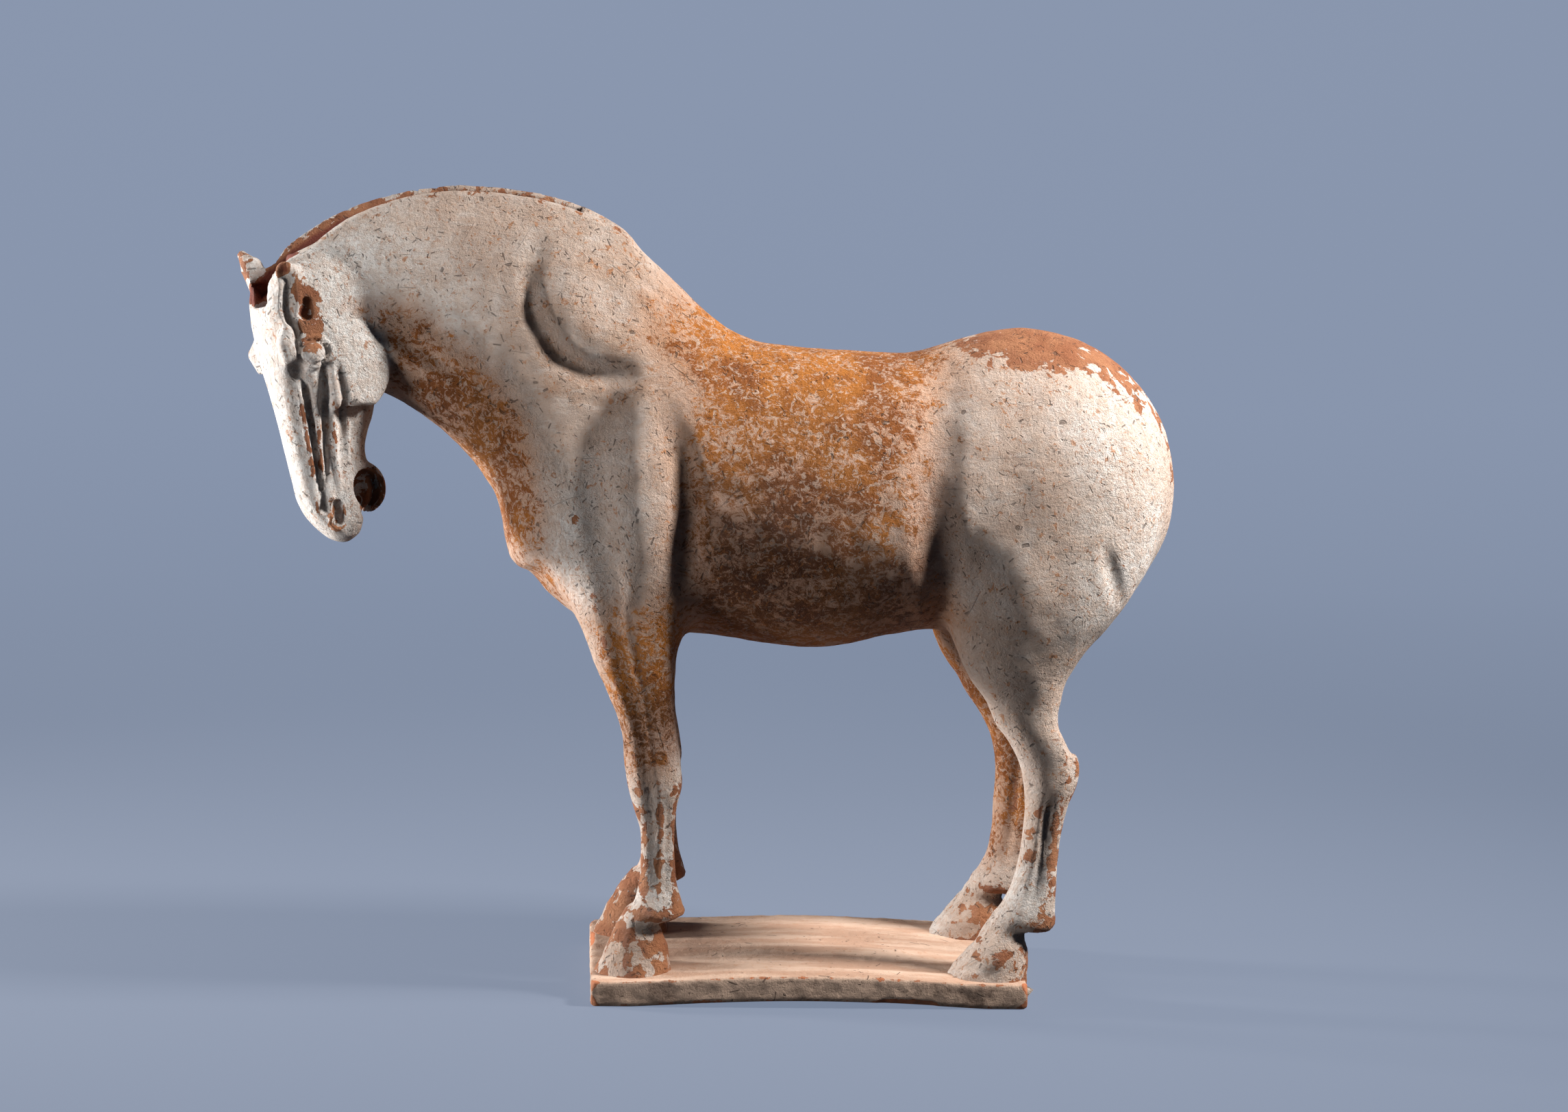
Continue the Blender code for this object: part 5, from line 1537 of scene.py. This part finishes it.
class StudioSettings(bpy.types.PropertyGroup):
    """The floor, the lights and the lens."""

    floor: colour_prop("Floor", "Plain pale floor and backdrop", "#8D9AB2")
    lens: number_prop("Lens", "Focal length", 73.95, min=1.0, unit="CAMERA")
    left_light: number_prop("Left light", "Power of the light in front of the horse", 8.5, unit="POWER")
    right_light: number_prop("Right light", "Power of the light behind the horse", 11.0, unit="POWER")
    bounce: number_prop("Bounce", "Power of the broad soft light from the front left", 1.0, unit="POWER")
    backdrop_light: number_prop("Backdrop light", "Power of the light on the backdrop", 5.0, unit="POWER")
    glow: number_prop("Glow", "Even light that the floor and backdrop give out", 0.92, min=0.0)
    fill: number_prop("Fill", "Strength of the light from all around", 0.062, min=0.0)


# The camera stands where the photo was taken from: place in metres, then turn, dip and tilt in degrees.
CAMERA_PLACE = (-0.0882, -2.0503, 0.5569)
CAMERA_TURN = 3.854
CAMERA_DIP = 7.747
CAMERA_TILT = 1.491
SENSOR = 36.0


def photo_camera(studio):
    turn, dip, tilt = (math.radians(a) for a in (CAMERA_TURN, CAMERA_DIP, CAMERA_TILT))
    ahead = Vector((math.sin(turn) * math.cos(dip), math.cos(turn) * math.cos(dip), -math.sin(dip)))
    level = Vector((math.cos(turn), -math.sin(turn), 0.0))
    upward = level.cross(ahead)
    right = level * math.cos(tilt) + upward * math.sin(tilt)
    up = upward * math.cos(tilt) - level * math.sin(tilt)
    data = bpy.data.cameras.new("photo_camera")
    data.sensor_fit = "HORIZONTAL"
    data.sensor_width = SENSOR
    data.lens = studio.lens
    camera = linked("photo_camera", data)
    camera.matrix_world = Matrix.Translation(CAMERA_PLACE) @ Matrix((right, up, -ahead)).transposed().to_4x4()
    bpy.context.scene.camera = camera


# The soft lights: place, the point that each is turned to, its size in metres and its colour.
LIGHTS = (
    ("left_window", (-1.78, 0.4, 0.46), (-0.1, 0, 0.3), (0.25, 0.25), (1, 0.97, 0.94)),
    ("right_window", (1.36, -0.27, 1.42), (0.05, 0, 0.3), (0.3, 0.3), (1, 0.96, 0.92)),
    ("left_bounce", (-1.0, -0.36, 0.2), (-0.2, 0, 0.28), (0.3, 0.3), (1, 0.97, 0.95)),
    ("backdrop_wash", (0, 1.2, 2.6), (0, 3.6, 1.2), (3.0, 1.0), (1, 1, 1)),
)


def soft_light(name, power, place, target, size, colour):
    data = bpy.data.lights.new(name, "AREA")
    data.shape = "RECTANGLE"
    data.size, data.size_y = size
    data.energy = power
    data.color = colour
    data.spread = math.radians(LIGHT_SPREAD)
    aim = Vector(target) - Vector(place)
    turned = aim.to_track_quat("-Z", "Y").to_matrix().to_4x4()
    linked(name, data).matrix_world = Matrix.Translation(place) @ turned


def studio_floor(studio):
    """A floor that sweeps up into a backdrop, far enough back that its bend isn't seen."""
    body = bmesh.new()
    bmesh.ops.create_grid(body, x_segments=1, y_segments=1, size=FLOOR_REACH)
    rear = FLOOR_REACH - 0.1
    back = [e for e in body.edges if all(v.co.y > rear for v in e.verts)]
    risen = bmesh.ops.extrude_edge_only(body, edges=back)["geom"]
    risen = [v for v in risen if isinstance(v, bmesh.types.BMVert)]
    bmesh.ops.translate(body, vec=(0, 0, BACKDROP_HEIGHT), verts=risen)
    bend = [e for e in body.edges if all(v.co.y > rear and v.co.z < 0.01 for v in e.verts)]
    bevelled(body, bend, BACKDROP_BEND, 16)
    floor = linked_mesh("floor", body)
    floor.data.shade_smooth()
    paper = bpy.data.materials.new("matt_backdrop_paper")
    paper.use_nodes = True
    tree = paper.node_tree
    surface = tree.nodes["Principled BSDF"].inputs
    surface["Base Color"].default_value = (*(FLOOR_RETURN * c for c in studio.floor[:3]), 1)
    surface["Emission Color"].default_value = studio.floor
    surface["Roughness"].default_value = 0.95
    # The glow is held back near the horse, where the lights add to it.
    depth = add(tree, "depth", add(tree, "place"))
    low, high = 0.8 * studio.glow, studio.glow
    glow = add(tree, "between", depth, 0.6, 2.6, low, high, interpolation_type="LINEAR")
    tree.links.new(glow, surface["Emission Strength"])
    floor.data.materials.append(paper)
    # The floor throws no light back, so the undersides stay as dark as in the photo.
    floor.visible_diffuse = False


def dressed(obj, material):
    """Hands a finished piece to the frame."""
    if not obj.data.polygons:
        raise RuntimeError(f"the {obj.name} has no faces")
    obj.data.materials.clear()
    obj.data.materials.append(material)
    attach(obj, "root")
    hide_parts(NODE)


class CLAYHORSE_OT_horse(bpy.types.Operator):
    """Models the horse from the part's skin and paints its worn slip"""

    bl_idname = "clayhorse.horse"
    bl_label = "Horse"

    def execute(self, context):
        slip = clay_material("worn_slip_on_fired_clay", worn_slip_on_clay, context.scene.clay_colours)
        dressed(model_horse(context.scene.clay_sizes), slip)
        return {"FINISHED"}


class CLAYHORSE_OT_slab(bpy.types.Operator):
    """Models the arched slab with its breaks and wiped strokes"""

    bl_idname = "clayhorse.slab"
    bl_label = "Slab"

    def execute(self, context):
        clay = clay_material("grimy_fired_clay", grimy_slab_clay, context.scene.clay_colours)
        dressed(model_slab(context.scene.clay_sizes), clay)
        return {"FINISHED"}


class CLAYHORSE_OT_studio(bpy.types.Operator):
    """Sets up the floor, the soft lights and the camera"""

    bl_idname = "clayhorse.studio"
    bl_label = "Studio"

    def execute(self, context):
        studio = context.scene.clay_studio
        photo_camera(studio)
        studio_floor(studio)
        for (name, *where), power in zip(
            LIGHTS, (studio.left_light, studio.right_light, studio.bounce, studio.backdrop_light)
        ):
            soft_light(name, power, *where)
        world = bpy.data.worlds.new("studio_air")
        world.use_nodes = True
        air = world.node_tree.nodes["Background"].inputs
        air["Color"].default_value = studio.floor
        air["Strength"].default_value = studio.fill
        context.scene.world = world
        context.scene.view_settings.view_transform = "Standard"
        return {"FINISHED"}


class CLAYHORSE_PT_panel(bpy.types.Panel):
    bl_label = "Clay horse"
    bl_idname = "CLAYHORSE_PT_panel"
    bl_space_type = "VIEW_3D"
    bl_region_type = "UI"
    bl_category = "Clay horse"

    def draw(self, context):
        for settings in GROUPS:
            group = getattr(context.scene, settings)
            box = self.layout.box()
            for name in group.__annotations__:
                box.prop(group, name)
        for operator in OPERATORS:
            self.layout.operator(operator.bl_idname)


GROUPS = {"clay_sizes": ClaySizes, "clay_colours": ClayColours, "clay_studio": StudioSettings}
OPERATORS = (CLAYHORSE_OT_horse, CLAYHORSE_OT_slab, CLAYHORSE_OT_studio)


def register():
    for made in (*GROUPS.values(), *OPERATORS, CLAYHORSE_PT_panel):
        bpy.utils.register_class(made)
    for name, group in GROUPS.items():
        setattr(bpy.types.Scene, name, bpy.props.PointerProperty(type=group))


def unregister():
    for name in GROUPS:
        delattr(bpy.types.Scene, name)
    for made in (CLAYHORSE_PT_panel, *OPERATORS, *GROUPS.values()):
        bpy.utils.unregister_class(made)


def main():
    register()
    bpy.ops.clayhorse.horse()
    bpy.ops.clayhorse.slab()
    bpy.ops.clayhorse.studio()


if __name__ == "__main__":
    main()
